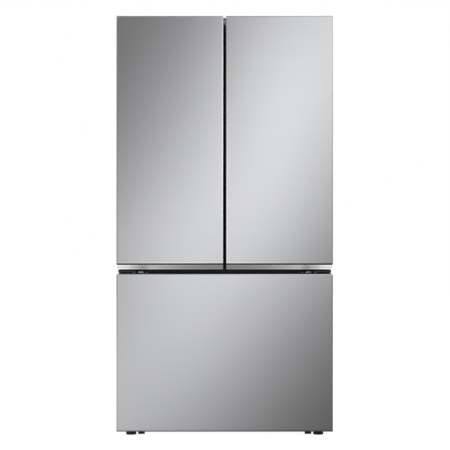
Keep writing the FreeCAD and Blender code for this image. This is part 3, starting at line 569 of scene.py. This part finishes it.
class Bench:
    """The modelling operators, each used on one piece at a time."""

    @staticmethod
    def clear() -> None:
        """Leaves nothing selected."""
        if bpy.context.object and bpy.context.object.mode != "OBJECT":
            bpy.ops.object.mode_set(mode="OBJECT")
        bpy.ops.object.select_all(action="DESELECT")

    @staticmethod
    def hold(piece: bpy.types.Object) -> None:
        """Selects one piece and makes it active."""
        Bench.clear()
        piece.select_set(True)
        bpy.context.view_layer.objects.active = piece

    @staticmethod
    def settle(piece: bpy.types.Object) -> bpy.types.Object:
        """Moves the piece's place into its mesh.

        Args:
            piece: The piece.

        Returns:
            The same piece, with its object at the origin.
        """
        Bench.hold(piece)
        bpy.ops.object.transform_apply(location=True, rotation=True, scale=True)
        return piece

    @staticmethod
    def block(name: str, low: Vector, high: Vector) -> bpy.types.Object:
        """A box between two corners.

        Args:
            name: The piece's name.
            low: Its lowest corner.
            high: Its highest corner.

        Returns:
            The box, ready to be shaped.
        """
        Bench.clear()
        bpy.ops.mesh.primitive_cube_add(size=1.0, location=(low + high) / 2)
        piece = bpy.context.object
        piece.name = piece.data.name = name
        piece.scale = high - low
        return Bench.settle(piece)

    @staticmethod
    def disc(name: str, centre: Vector, radius: float, height: float, axis: Vector,
             sides: int = 24) -> bpy.types.Object:
        """A short cylinder that stands on its centre along an axis.

        Args:
            name: The piece's name.
            centre: The middle of its foot.
            radius: Its radius.
            height: Its height along the axis.
            axis: The way that it stands.
            sides: How many sides it has.

        Returns:
            The cylinder, ready to be shaped.
        """
        Bench.clear()
        bpy.ops.mesh.primitive_cylinder_add(vertices=sides, radius=radius, depth=height)
        piece = bpy.context.object
        piece.name = piece.data.name = name
        turn = axis.to_track_quat("Z", "Y").to_matrix().to_4x4()
        piece.matrix_world = Matrix.Translation(centre + axis * (height / 2)) @ turn
        return Bench.settle(piece)

    @staticmethod
    def pick(piece: bpy.types.Object, wanted: Callable[[bpy.types.MeshPolygon], bool]) -> None:
        """Enters edit mode with only the wanted faces selected.

        Args:
            piece: The piece.
            wanted: Says of a face whether it is wanted.
        """
        Bench.hold(piece)
        bpy.context.tool_settings.mesh_select_mode = (False, False, True)
        mesh = piece.data
        for part in (mesh.vertices, mesh.edges):
            part.foreach_set("select", [False] * len(part))
        mesh.polygons.foreach_set("select", [bool(wanted(face)) for face in mesh.polygons])
        bpy.ops.object.mode_set(mode="EDIT")

    @staticmethod
    def towards(axis: Vector) -> Callable[[bpy.types.MeshPolygon], bool]:
        """A test for faces that look along an axis."""
        return lambda face: face.normal.dot(axis) > 0.98

    @staticmethod
    def dish(piece: bpy.types.Object, axis: Vector, rim: float, sink: float) -> None:
        """Insets the faces that look along an axis and pushes them in, or out if sink is negative.

        Args:
            piece: The piece.
            axis: The way the faces look.
            rim: The width left round them.
            sink: How far they go in.
        """
        Bench.pick(piece, Bench.towards(axis))
        bpy.ops.mesh.inset(thickness=rim)
        bpy.ops.mesh.extrude_region_move(TRANSFORM_OT_translate={"value": -axis * sink})
        bpy.ops.object.mode_set(mode="OBJECT")

    @staticmethod
    def soften(piece: bpy.types.Object, width: float, segments: int = 2) -> bpy.types.Object:
        """Rounds the piece's sharp edges and smooths its shading.

        Args:
            piece: The piece.
            width: The rounding's width.
            segments: Its steps.

        Returns:
            The same piece.
        """
        Bench.hold(piece)
        bevel = piece.modifiers.new("soft_edges", "BEVEL")
        bevel.width = width
        bevel.segments = segments
        bevel.limit_method = "ANGLE"
        bevel.angle_limit = math.radians(40)
        bevel.use_clamp_overlap = True
        bpy.ops.object.modifier_apply(modifier=bevel.name)
        bpy.ops.object.shade_smooth_by_angle(angle=math.radians(35))
        return piece

    @staticmethod
    def repeat(piece: bpy.types.Object, moves: Iterable[Vector]) -> bpy.types.Object:
        """Copies a piece to each move from where it is, and joins the copies.

        Args:
            piece: The model, which is used up.
            moves: Where each copy goes, from the model's place.

        Returns:
            One piece with all the copies.
        """
        name = piece.name
        copies = []
        for move in moves:
            copy = piece.copy()
            copy.data = piece.data.copy()
            copy.data.transform(Matrix.Translation(move))
            bpy.context.scene.collection.objects.link(copy)
            copies.append(copy)
        bpy.data.objects.remove(piece)
        return Bench.weld(name, copies)

    @staticmethod
    def weld(name: str, pieces: Sequence[bpy.types.Object]) -> bpy.types.Object:
        """Joins pieces into one object.

        Args:
            name: The joined piece's name.
            pieces: What is joined.

        Returns:
            The joined piece.
        """
        Bench.clear()
        for piece in pieces:
            piece.select_set(True)
        bpy.context.view_layer.objects.active = pieces[0]
        if len(pieces) > 1:
            bpy.ops.object.join()
        joined = bpy.context.object
        joined.name = joined.data.name = name
        return joined

    @staticmethod
    def pipe(name: str, points: Sequence[Vector], radius: float, closed: bool = False,
             straight: bool = False) -> bpy.types.Object:
        """A round tube or bead along points.

        Args:
            name: The piece's name.
            points: The points that it follows.
            radius: Its radius.
            closed: True if it returns to its start.
            straight: True for straight runs with sharp corners.

        Returns:
            The tube, as a mesh.
        """
        curve = bpy.data.curves.new(name, "CURVE")
        curve.dimensions = "3D"
        curve.bevel_depth = radius
        curve.bevel_resolution = 3
        curve.use_fill_caps = not closed
        line = curve.splines.new("POLY" if straight else "NURBS")
        line.points.add(len(points) - 1)
        for spot, point in zip(line.points, points):
            spot.co = (*point, 1.0)
        line.use_cyclic_u = closed
        if not straight:
            line.order_u = 3
            line.use_endpoint_u = not closed
        piece = bpy.data.objects.new(name, curve)
        bpy.context.scene.collection.objects.link(piece)
        Bench.hold(piece)
        bpy.ops.object.convert(target="MESH")
        piece = bpy.context.object
        bpy.ops.object.shade_smooth_by_angle(angle=math.radians(35))
        return piece

    @staticmethod
    def merged_copy(node: str) -> bpy.types.Object:
        """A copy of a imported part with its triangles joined, so that its curves shade smoothly.

        Args:
            node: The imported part's name.

        Returns:
            The copy, which stands for the part.
        """
        source = frame["nodes"][node]
        piece = bpy.data.objects.new(node + "_surface", source.data.copy())
        bpy.context.scene.collection.objects.link(piece)
        Bench.hold(piece)
        bpy.ops.object.mode_set(mode="EDIT")
        bpy.ops.mesh.select_all(action="SELECT")
        bpy.ops.mesh.remove_doubles(threshold=0.000002)
        bpy.ops.mesh.customdata_custom_splitnormals_clear()
        bpy.ops.object.mode_set(mode="OBJECT")
        bpy.ops.object.shade_smooth_by_angle(angle=math.radians(28))
        return piece


RIGHT, BACK, UP = Vector((1, 0, 0)), Vector((0, 1, 0)), Vector((0, 0, 1))


def hang(piece: bpy.types.Object, body: str, look: Look) -> bpy.types.Object:
    """Finishes a piece: its look and the body that it rides on.

    Args:
        piece: The piece.
        body: The body's name.
        look: Its finish.

    Returns:
        The same piece.
    """
    look.cover(piece)
    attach(piece, body)
    LOG.info("%s on %s, %d faces", piece.name, body, len(piece.data.polygons))
    return piece


def screws(name: str, places: Sequence[Vector], axis: Vector, radius: float = 4.5) -> bpy.types.Object:
    """Pan-head screws with a sunk drive.

    Args:
        name: The piece's name.
        places: Where each head stands.
        axis: The way the heads stand.
        radius: A head's radius in millimetres.

    Returns:
        All the heads as one piece.
    """
    head = Bench.disc(name, places[0], radius * MM, 2.2 * MM, axis, 16)
    Bench.dish(head, axis, radius * 0.55 * MM, 1.2 * MM)
    Bench.soften(head, 0.5 * MM)
    return Bench.repeat(head, [place - places[0] for place in places])


# ---------------------------------------------------------------- sub-assemblies


@dataclass
class PackedParts:
    """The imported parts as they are, with their own finishes, and merged copies of the rounded ones."""

    rounded: tuple[str, ...] = (
        "left_door_skin", "right_door_skin", "drawer_skin", "top_covers",
        "outer_case", "levelling_leg_left", "levelling_leg_right", "front_rollers", "rear_rollers", "compressor",
        "condenser_fan", "evaporator_fan", "fridge_liner", "freezer_liner", "left_door_liner", "right_door_liner",
        "drawer_liner", "crispers", "pantry_drawer", "left_door_bins", "right_door_bins", "freezer_basket",
        "freezer_tray", "dairy_lid", "mullion_flap", "door_hinges", "hinge_screws", "shelf_frames", "air_duct",
        "drawer_top_cap", "left_door_end_caps", "right_door_end_caps", "back_fittings", "machine_cover",
        "rear_panel", "drain_pan", "roller_axles", "base_frame",
    )

    rimmed: tuple[str, ...] = ("left_door_liner", "right_door_liner", "drawer_liner")

    def dress(self) -> None:
        """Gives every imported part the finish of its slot."""
        slots = {row["node"]: row["material_slot"] for row in frame["record"]["subparts"]}
        looks = {node: SLOT_LOOK[slot] for node, slot in slots.items()}
        looks.update({node: Look.RIMMED for node in self.rimmed})
        for node, piece in frame["nodes"].items():
            looks[node].cover(piece)
        bodies = {node: body for body, nodes in frame["record"]["behaviour"]["bodies"].items() for node in nodes}
        for node in self.rounded:
            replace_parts(hang(Bench.merged_copy(node), bodies[node], looks[node]), node)


@dataclass
class Interior:
    """Fittings inside the fridge compartment: lamps, touch panel, shelf trims and pulls."""

    shelf_fronts: tuple[tuple[float, float, float, float], ...] = (
        (-394, -1.5, 206, 1240), (-394, -1.5, 206, 1440), (1.5, 394, 206, 1205), (1.5, 394, 206, 1420),
        (-396, 396, 200, 990), (-396, 396, 206, 834),
    )
    ceiling: float = 1712.0
    body: str = "cabinet"

    def build(self) -> None:
        """Makes all the fittings."""
        self.trims()
        self.lamps()
        self.touch_panel()
        self.pulls()
        self.duct_trim()

    def trims(self) -> None:
        """Satin strips along the shelves' front edges."""
        strips = []
        for left, right, front, level in self.shelf_fronts:
            strip = Bench.block("shelf_trims", at(left + 8, front - 2.2, level + 1.5),
                                at(right - 8, front + 0.4, level + 14.5))
            Bench.dish(strip, -BACK, 2.6 * MM, 0.8 * MM)
            strips.append(Bench.soften(strip, 0.5 * MM))
        hang(Bench.weld("shelf_trims", strips), self.body, Look.HANDLE)

    def lamps(self) -> None:
        """A framed lamp on the ceiling and one slim lamp on each side wall."""
        lens = Bench.block("ceiling_lamp_lens", at(-150, 215, self.ceiling - 7), at(150, 345, self.ceiling - 1))
        Bench.dish(lens, -UP, 6 * MM, -2 * MM)
        hang(Bench.soften(lens, 2 * MM), self.body, Look.LENS)
        rim = Bench.block("ceiling_lamp_frame", at(-162, 203, self.ceiling - 5), at(162, 357, self.ceiling))
        Bench.dish(rim, -UP, 11 * MM, 3 * MM)
        hang(Bench.soften(rim, 1.5 * MM), self.body, Look.WHITE)
        strips = []
        for side in (-1, 1):
            x = sorted((side * 393.5, side * 400))
            strip = Bench.block("side_lamps", at(x[0], 150, 1080), at(x[1], 172, 1640))
            Bench.dish(strip, RIGHT * -side, 3 * MM, -1 * MM)
            strips.append(Bench.soften(strip, 1.5 * MM))
        hang(Bench.weld("side_lamps", strips), self.body, Look.LENS)

    def touch_panel(self) -> None:
        """A dark touch strip on the ceiling's front edge, with five plain pads."""
        strip = Bench.block("touch_panel", at(70, 112, self.ceiling - 8), at(290, 152, self.ceiling))
        Bench.dish(strip, -UP, 4 * MM, 0.8 * MM)
        hang(Bench.soften(strip, 1.5 * MM), self.body, Look.BLACK)
        pad = Bench.disc("touch_pads", at(95, 132, self.ceiling - 7.2), 7 * MM, 1.2 * MM, -UP, 28)
        Bench.dish(pad, -UP, 1.6 * MM, 0.6 * MM)
        Bench.soften(pad, 0.3 * MM)
        hang(Bench.repeat(pad, [RIGHT * (42 * i * MM) for i in range(5)]), self.body, Look.PLATE)

    def pulls(self) -> None:
        """Satin strips on the pull lips of the crispers and the pantry drawer."""
        strips = []
        for left, right, top in ((-352, -38, 976), (38, 352, 976), (-352, 352, 824)):
            strip = Bench.block("drawer_pulls", at(left, 200.6, top - 15), at(right, 203.2, top - 1))
            Bench.dish(strip, -BACK, 3 * MM, 0.8 * MM)
            strips.append(Bench.soften(strip, 0.6 * MM))
        hang(Bench.weld("drawer_pulls", strips), self.body, Look.HANDLE)

    def duct_trim(self) -> None:
        """A satin band down each side of the air duct's face."""
        band = Bench.block("duct_bands", at(-103, 631.4, 1030), at(-97, 633.4, 1680))
        Bench.soften(band, 0.6 * MM)
        hang(Bench.repeat(band, [Vector(), RIGHT * (200 * MM)]), self.body, Look.HANDLE)


@dataclass
class DoorFittings:
    """What is added to one door: bin rails and ribs, gasket beads, and screws in its caps."""

    word: str
    side: int
    levels: tuple[float, ...]
    pin_x: float = 430.0

    def build(self) -> None:
        """Makes the door's fittings."""
        self.rails()
        self.beads()
        self.slot_fin()
        self.cap_screws()

    def rails(self) -> None:
        """A satin rail along the front of each bin, and ribs on its floor."""
        near, far = sorted((self.side * 74, self.side * 356))
        body = f"{self.word}_door"
        rail = Bench.block(f"{body}_bin_rails", at(near, 185.6, self.levels[0] + 50),
                           at(far, 188.4, self.levels[0] + 68))
        Bench.dish(rail, BACK, 3 * MM, 0.9 * MM)
        Bench.soften(rail, 0.7 * MM)
        lifts = [UP * ((level - self.levels[0]) * MM) for level in self.levels]
        hang(Bench.repeat(rail, lifts), body, Look.HANDLE)
        rib = Bench.block(f"{body}_bin_ribs", at(near + 18, 80, self.levels[0] + 2.4),
                          at(near + 21, 172, self.levels[0] + 4.4))
        Bench.soften(rib, 0.8 * MM)
        moves = [RIGHT * (24.6 * i * MM) + lift for i in range(11) for lift in lifts]
        hang(Bench.repeat(rib, moves), body, Look.CLEAR)

    def beads(self) -> None:
        """The gasket's two round lips."""
        body = f"{self.word}_door"
        beads = []
        for inset, radius in ((2.2, 2.0), (15.6, 2.2)):
            left, right = sorted((self.side * (12 + inset), self.side * (self.pin_x - inset)))
            low, high = 716 + inset, 1746 - inset
            corners = [at(x, 93.2, z) for x, z in ((left, low), (right, low), (right, high), (left, high))]
            beads.append(Bench.pipe("bead", corners, radius * MM, closed=True, straight=True))
        hang(Bench.weld(f"{body}_gasket_beads", beads), body, Look.SEAL)

    def slot_fin(self) -> None:
        """The thin near-black fin that closes half of the slot between the doors. Its near-black is painted shade,
        standing in for the shade in the slot.
        """
        reach, depth = {-1: (1.6, 87.0), 1: (2.4, 90.5)}[self.side]
        x = sorted((self.side * 13.0, reach))
        fin = Bench.block(f"{self.word}_slot_fin", at(x[0], depth, 716), at(x[1], depth + 1.6, 1746))
        Bench.dish(fin, -BACK, 1.2 * MM, 0.4 * MM)
        hang(Bench.soften(fin, 0.4 * MM), f"{self.word}_door", Look.SLOT_SHADE_FIN)

    def cap_screws(self) -> None:
        """Screws that hold the door's top cap."""
        body = f"{self.word}_door"
        places = [at(self.side * x, 42, 1764.5) for x in (40, 150, 260, 360)]
        hang(screws(f"{body}_cap_screws", places, UP), body, Look.PLATE)


@dataclass
class DrawerFittings:
    """What is added to the freezer drawer: gasket beads, the tray's pull and a grip on the basket divider."""

    body: str = "freezer_drawer"

    def build(self) -> None:
        """Makes the drawer's fittings."""
        beads = []
        for inset, radius in ((2.2, 2.0), (15.6, 2.2)):
            side, low, high = 430 - inset, 70 + inset, 686 - inset
            corners = [at(x, 93.2, z) for x, z in ((-side, low), (side, low), (side, high), (-side, high))]
            beads.append(Bench.pipe("bead", corners, radius * MM, closed=True, straight=True))
        hang(Bench.weld("drawer_gasket_beads", beads), self.body, Look.SEAL)
        pull = Bench.block("tray_pull", at(-150, 101, 566), at(150, 104.4, 588))
        Bench.dish(pull, -BACK, 4 * MM, 1.0 * MM)
        hang(Bench.soften(pull, 0.8 * MM), "freezer_tray", Look.HANDLE)
        grip = Bench.block("divider_grip", at(-11, 250, 396), at(11, 274, 406))
        hang(Bench.soften(grip, 3 * MM, 3), "basket_divider", Look.WHITE)


@dataclass
class HingeFittings:
    """Plated washers and tabs on the middle hinges, and small bolts beside them."""

    body: str = "cabinet"
    washer_x: float = 357.5
    washer_z: float = 691.5

    def build(self) -> None:
        """Makes the fittings on both sides."""
        washer = Bench.disc("hinge_washers", at(self.washer_x, 92.6, self.washer_z), 13.5 * MM, 1.8 * MM, -BACK, 40)
        washer.data.transform(Matrix.Translation(UP * (self.washer_z * MM)) @ Matrix.Diagonal((1, 1, 0.44, 1))
                              @ Matrix.Translation(UP * (-self.washer_z * MM)))
        Bench.soften(washer, 0.8 * MM, 3)
        hang(Bench.repeat(washer, [Vector(), RIGHT * (-2 * self.washer_x * MM)]), self.body, Look.PLATE)
        tab = Bench.block("hinge_tabs", at(379, 90.4, 688.8), at(393, 92.8, 700))
        Bench.dish(tab, -BACK, 2 * MM, 0.5 * MM)
        Bench.soften(tab, 0.6 * MM)
        hang(Bench.repeat(tab, [Vector(), RIGHT * (-772 * MM)]), self.body, Look.PLATE)
        bolt = Bench.disc("rail_bolts", at(331, 96, 692.5), 5 * MM, 3 * MM, -BACK, 6)
        Bench.dish(bolt, -BACK, 1.5 * MM, 0.6 * MM)
        Bench.soften(bolt, 0.5 * MM)
        hang(Bench.repeat(bolt, [Vector(), RIGHT * (-662 * MM)]), self.body, Look.ZINC)


@dataclass
class MachineFittings:
    """Tubes, bends, grommets and screws at the back and in the machine compartment."""

    body: str = "cabinet"
    compressor_x: float = 170.0
    compressor_depth: float = 600.0
    condenser_depths: tuple[float, ...] = (530, 570, 610, 650)
    condenser_levels: tuple[float, ...] = (95, 140, 185, 225)

    def build(self) -> None:
        """Makes the machine compartment's fittings."""
        self.tubes()
        self.bends()
        self.grommets()
        self.back_screws()
        self.terminal_lead()

    def tubes(self) -> None:
        """Copper suction, discharge and process tubes."""
        x, depth = self.compressor_x, self.compressor_depth
        routes = (
            (at(x + 80, depth + 20, 100), at(x + 118, depth + 26, 102), at(x + 150, depth + 30, 130),
             at(x + 162, depth + 10, 190), at(x + 176, depth - 60, 236), at(x + 190, 482, 246)),
            (at(x - 60, depth + 52, 110), at(x - 84, depth + 84, 116), at(x - 120, depth + 94, 150),
             at(x - 160, depth + 90, 222), at(-20, depth + 84, 252), at(-52, 652, 232)),
            (at(x + 30, depth + 74, 120), at(x + 34, depth + 98, 124), at(x + 60, depth + 106, 160)),
        )
        tubes = [Bench.pipe("tube", route, radius * MM) for route, radius in zip(routes, (4.0, 3.2, 3.0))]
        hang(Bench.weld("copper_tubes", tubes), self.body, Look.COPPER)

    def bends(self) -> None:
        """The condenser's return bends, at both ends of its tubes."""
        arcs = []
        for depth_a, depth_b in zip(self.condenser_depths[::2], self.condenser_depths[1::2]):
            for level in self.condenser_levels:
                for end, reach in ((-345, -14), (-45, 12)):
                    points = [at(end, depth_a, level), at(end + reach * 1.2, depth_a, level),
                              at(end + reach * 1.2, depth_b, level), at(end, depth_b, level)]
                    arcs.append(Bench.pipe("bend", points, 4 * MM))
        hang(Bench.weld("condenser_bends", arcs), self.body, Look.FIN)

    def grommets(self) -> None:
        """Ribbed rubber mounts under the compressor's plate."""
        x, depth = self.compressor_x, self.compressor_depth
        mount = Bench.disc("compressor_grommets", at(x - 80, depth - 62, 65), 12 * MM, 9 * MM, UP, 24)
        Bench.dish(mount, UP, 4 * MM, -4 * MM)
        Bench.soften(mount, 1.2 * MM)
        moves = [RIGHT * (160 * i * MM) + BACK * (124 * j * MM) for i in (0, 1) for j in (0, 1)]
        hang(Bench.repeat(mount, moves), self.body, Look.NYLON)

    def back_screws(self) -> None:
        """Screws round the rear panel and the machine cover."""
        panel = [at(side * 440, 720, z) for side in (-1, 1) for z in range(300, 1740, 180)]
        panel += [at(x, 720, 1750) for x in range(-360, 400, 180)]
        hang(screws("rear_panel_screws", panel, BACK), self.body, Look.PLATE)
        cover = [at(x, 727, z) for x in (-430, -215, 215, 430) for z in (66, 248)]
        hang(screws("machine_cover_screws", cover, BACK), self.body, Look.PLATE)

    def terminal_lead(self) -> None:
        """The fixed lead from the compressor's terminals up to the cord inlet."""
        x, depth = self.compressor_x, self.compressor_depth
        route = (at(x, depth - 92, 140), at(x + 40, depth - 108, 150), at(x + 120, depth - 90, 190),
                 at(x + 150, depth - 20, 240), at(x + 158, depth + 70, 254))
        hang(Bench.pipe("terminal_lead", route, 3 * MM), self.body, Look.BLACK)


# ---------------------------------------------------------------- studio


@dataclass
class Studio:
    """A white floor and surround, soft lights, and a shaded card whose reflection gives the steel its sweep."""

    camera_depth: float = -6100.0
    eye_level: float = 895.0
    eye_x: float = 1.3
    lens: float = 116.4
    card_gap: float = 900.0
    sweep_span: tuple[float, float] = (-1.70, 0.46)
    sweep_stops: int = 28
    sweep_peak: float = -0.65
    sweep_top: float = 0.98
    sweep_left: tuple[float, float] = (2.2, 1.76)
    sweep_right: float = 2.5
    corner_from: float = -1.45
    corner_fall: float = 11.0
    card_slope: float = 0.706
    right_lift: float = 0.11
    top_lift: float = 0.25
    low_shade: float = 0.25
    edge_shade: float = 0.12
    shade_x: tuple[float, float] = (-0.5, 0.0)
    shade_z: tuple[float, float] = (0.6, 0.86)
    mirrored_surround: float = 0.3
    mirrored_ground: float = 0.06
    strip_gap: float = 350.0
    strip_level: float = 719.0
    strip_profile: tuple[tuple[float, float], ...] = (
        (0.000, 0.255), (0.090, 0.275), (0.180, 0.340), (0.270, 0.48), (0.318, 0.58), (0.345, 0.22), (0.370, 0.58),
        (0.384, 0.42), (0.402, 0.82), (0.460, 0.98),
    )

    def build(self) -> None:
        """Makes everything round the object."""
        self.camera()
        self.surround()
        self.floor()
        self.card()
        self.strip_card()
        self.lights()

    def camera(self) -> None:
        """A long lens, level, straight in front of the doors."""
        data = bpy.data.cameras.new("camera")
        data.sensor_width = 36.0
        data.lens = self.lens
        data.clip_end = 60.0
        camera = bpy.data.objects.new("camera", data)
        camera.location = at(self.eye_x, self.camera_depth, self.eye_level)
        camera.rotation_euler = (math.radians(90), 0, 0)
        bpy.context.scene.collection.objects.link(camera)
        bpy.context.scene.camera = camera

    def surround(self) -> None:
        """An even white surround."""
        scene = bpy.context.scene
        scene.view_settings.view_transform = "Standard"
        world = bpy.data.worlds.new("white_surround")
        world.use_nodes = True
        nodes, links = world.node_tree.nodes, world.node_tree.links
        background = nodes["Background"]
        background.inputs["Color"].default_value = (1.0, 1.0, 1.0, 1.0)
        rays = nodes.new("ShaderNodeLightPath")
        level = nodes.new("ShaderNodeMapRange")
        level.inputs["To Min"].default_value = 1.0
        ways, parts = nodes.new("ShaderNodeTexCoord"), nodes.new("ShaderNodeSeparateXYZ")
        links.new(ways.outputs["Generated"], parts.inputs[0])
        sky = nodes.new("ShaderNodeMapRange")
        sky.inputs["From Min"].default_value = -0.1
        sky.inputs["From Max"].default_value = 0.1
        sky.inputs["To Min"].default_value = self.mirrored_ground
        sky.inputs["To Max"].default_value = self.mirrored_surround
        links.new(parts.outputs["Z"], sky.inputs["Value"])
        links.new(sky.outputs[0], level.inputs["To Max"])
        links.new(rays.outputs["Is Glossy Ray"], level.inputs["Value"])
        links.new(level.outputs[0], background.inputs["Strength"])
        scene.world = world

    def floor(self) -> None:
        """A pale floor that glows a little, so that its shadows stay soft."""
        Bench.clear()
        bpy.ops.mesh.primitive_plane_add(size=24.0)
        floor = bpy.context.object
        floor.name = "floor"
        graph = Graph("pale_floor")
        graph.surface(Base_Color=(0.2, 0.2, 0.2, 1.0), Roughness=0.9, Emission_Color=(1.0, 1.0, 1.0, 1.0),
                      Emission_Strength=0.93, Specular_IOR_Level=0.0)
        floor.data.materials.append(graph.material)
        floor.visible_glossy = False

    def reflector(self, name: str, gap: float, size: tuple[float, float], level: float) -> bpy.types.Object:
        """An upright card in front of the doors that only reflections see.

        Args:
            name: The card's name.
            gap: Its distance in front of the doors, in millimetres.
            size: Its width and height in metres.
            level: The height of its middle, in millimetres.

        Returns:
            The card, without a material.
        """
        Bench.clear()
        bpy.ops.mesh.primitive_plane_add(size=1.0)
        card = bpy.context.object
        card.name = name
        card.data.transform(Matrix.Rotation(math.radians(90), 4, "X") @ Matrix.Diagonal((*size, 1.0, 1.0)))
        card.data.transform(Matrix.Translation(at(0, -gap, level)))
        for ray in ("camera", "diffuse", "shadow", "transmission", "volume_scatter"):
            setattr(card, f"visible_{ray}", False)
        return card

    def spread(self, gap: float) -> float:
        """How much larger a reflection is on a card than on the doors."""
        return (-self.camera_depth + gap) / -self.camera_depth

    def ramp(self, graph: Graph, place: Wire, profile: Sequence[tuple[float, float]]) -> Wire:
        """Brightness along a line, from a profile of places and values.

        Args:
            graph: The card's graph.
            place: The place along the line.
            profile: Places and values, in order.

        Returns:
            The brightness.
        """
        low, high = profile[0][0], profile[-1][0]
        stops = [((spot - low) / (high - low), value) for spot, value in profile]
        return graph.add("ShaderNodeValToRGB", {0: (place - low) / (high - low)}, "Color", stops=stops)

    def sweep_level(self, place: float) -> float:
        """How bright the card's sweep is at a place along it.

        It falls off as a bell on one side of its peak, faster still in the corner, and more slowly on the other side.

        Args:
            place: The place along the sweep.

        Returns:
            The brightness.
        """
        away = place - self.sweep_peak
        if away > 0:
            return self.sweep_top / math.cosh(self.sweep_right * away)
        rate, power = self.sweep_left
        corner = max(0.0, self.corner_from - place)
        return self.sweep_top * math.exp(-rate * abs(away) ** power - self.corner_fall * corner * corner)

    def card(self) -> None:
        """The reflector card: bright along a slanting band and dark in two opposite corners."""
        card = self.reflector("reflector_card", self.card_gap, (3.4, 3.6), self.eye_level)
        graph = Graph("card_sweep")
        scale = self.spread(self.card_gap)
        across = graph.axis("X") / scale
        height = (graph.axis("Z") - self.eye_level * MM) / scale + self.eye_level * MM
        low, high = self.sweep_span
        places = [low + (high - low) * step / (self.sweep_stops - 1) for step in range(self.sweep_stops)]
        profile = [(place, self.sweep_level(place)) for place in places]
        sweep = self.ramp(graph, across - height * self.card_slope, profile)
        right = across.smooth(-0.10, 0.14) * height.smooth(0.62, 0.86)
        top = right * height.smooth(1.15, 1.85) * (1 - across.smooth(0.05, 0.42))
        low_left = (1 - across.smooth(*self.shade_x)) * (1 - height.smooth(*self.shade_z))
        edge = across.smooth(0.28, 0.46)
        lift = 1 + right * self.right_lift + top * self.top_lift - low_left * self.low_shade - edge * self.edge_shade
        ground = graph.axis("Z").smooth(-0.75, -0.4)
        glow = graph.add("ShaderNodeEmission", {"Color": sweep, "Strength": lift * ground})
        graph.tree.links.new(glow.socket, graph.output.inputs["Surface"])
        card.data.materials.append(graph.material)
        self.link(card, "EXCLUDE")

    def strip_card(self) -> None:
        """A second card that only the doors' handle strips reflect: bright at its ends, dark in the middle."""
        card = self.reflector("strip_card", self.strip_gap, (1.3, 1.6), self.strip_level)
        graph = Graph("strip_sweep")
        sweep = self.ramp(graph, graph.axis("X").size() / self.spread(self.strip_gap), self.strip_profile)
        away = (graph.axis("Z") - self.strip_level * MM).size().smooth(0.04, 0.24)
        glow = graph.add("ShaderNodeEmission", {"Color": sweep, "Strength": 0.85 + away * 0.6})
        clear = graph.add("ShaderNodeBsdfTransparent", {})
        both = graph.add("ShaderNodeAddShader", {0: glow, 1: clear})
        graph.tree.links.new(both.socket, graph.output.inputs["Surface"])
        card.data.materials.append(graph.material)
        self.link(card, "INCLUDE")

    def link(self, card: bpy.types.Object, state: str) -> None:
        """Says whether a card lights only the handle strips, or everything but them.

        Args:
            card: The card.
            state: INCLUDE for only the strips, EXCLUDE for all but them.
        """
        strips = bpy.data.collections.new(f"{card.name}_{state.lower()}")
        for word in ("left", "right"):
            strips.objects.link(frame["nodes"][f"{word}_door_handle"])
        for row in strips.collection_objects:
            row.light_linking.link_state = state
        card.light_linking.receiver_collection = strips

    def lights(self) -> None:
        """Three soft boxes, above the front corners and behind."""
        for name, place, aim, size, power in (
                ("key_light", at(-2600, -2600, 3400), at(0, 200, 900), 2.4, 60.0),
                ("fill_light", at(2800, -2200, 2400), at(0, 200, 900), 2.4, 35.0),
                ("back_light", at(0, 3600, 2800), at(0, 400, 900), 2.4, 50.0)):
            data = bpy.data.lights.new(name, "AREA")
            data.size = size
            data.energy = power
            light = bpy.data.objects.new(name, data)
            light.location = place
            light.rotation_euler = (place - aim).to_track_quat("Z", "Y").to_euler()
            bpy.context.scene.collection.objects.link(light)


@dataclass
class Refrigerator:
    """The whole object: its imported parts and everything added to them."""

    assemblies: list = field(default_factory=lambda: [
        Interior(), DoorFittings("left", -1, (800, 1120, 1440)), DoorFittings("right", 1, (800, 1120, 1420)),
        DrawerFittings(), HingeFittings(), MachineFittings(),
    ])

    def build(self) -> None:
        """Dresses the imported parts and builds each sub-assembly."""
        PackedParts().dress()
        for assembly in self.assemblies:
            assembly.build()


def corners(box: tuple[Vector, Vector]) -> list[list[float]]:
    """A box as plain lists of numbers."""
    return [[float(value) for value in corner] for corner in box]


def main() -> None:
    logging.basicConfig(level=logging.INFO, format="%(name)s: %(message)s")
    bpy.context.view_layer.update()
    Studio().build()
    Refrigerator().build()
    Bench.clear()


if __name__ == "__main__":
    main()
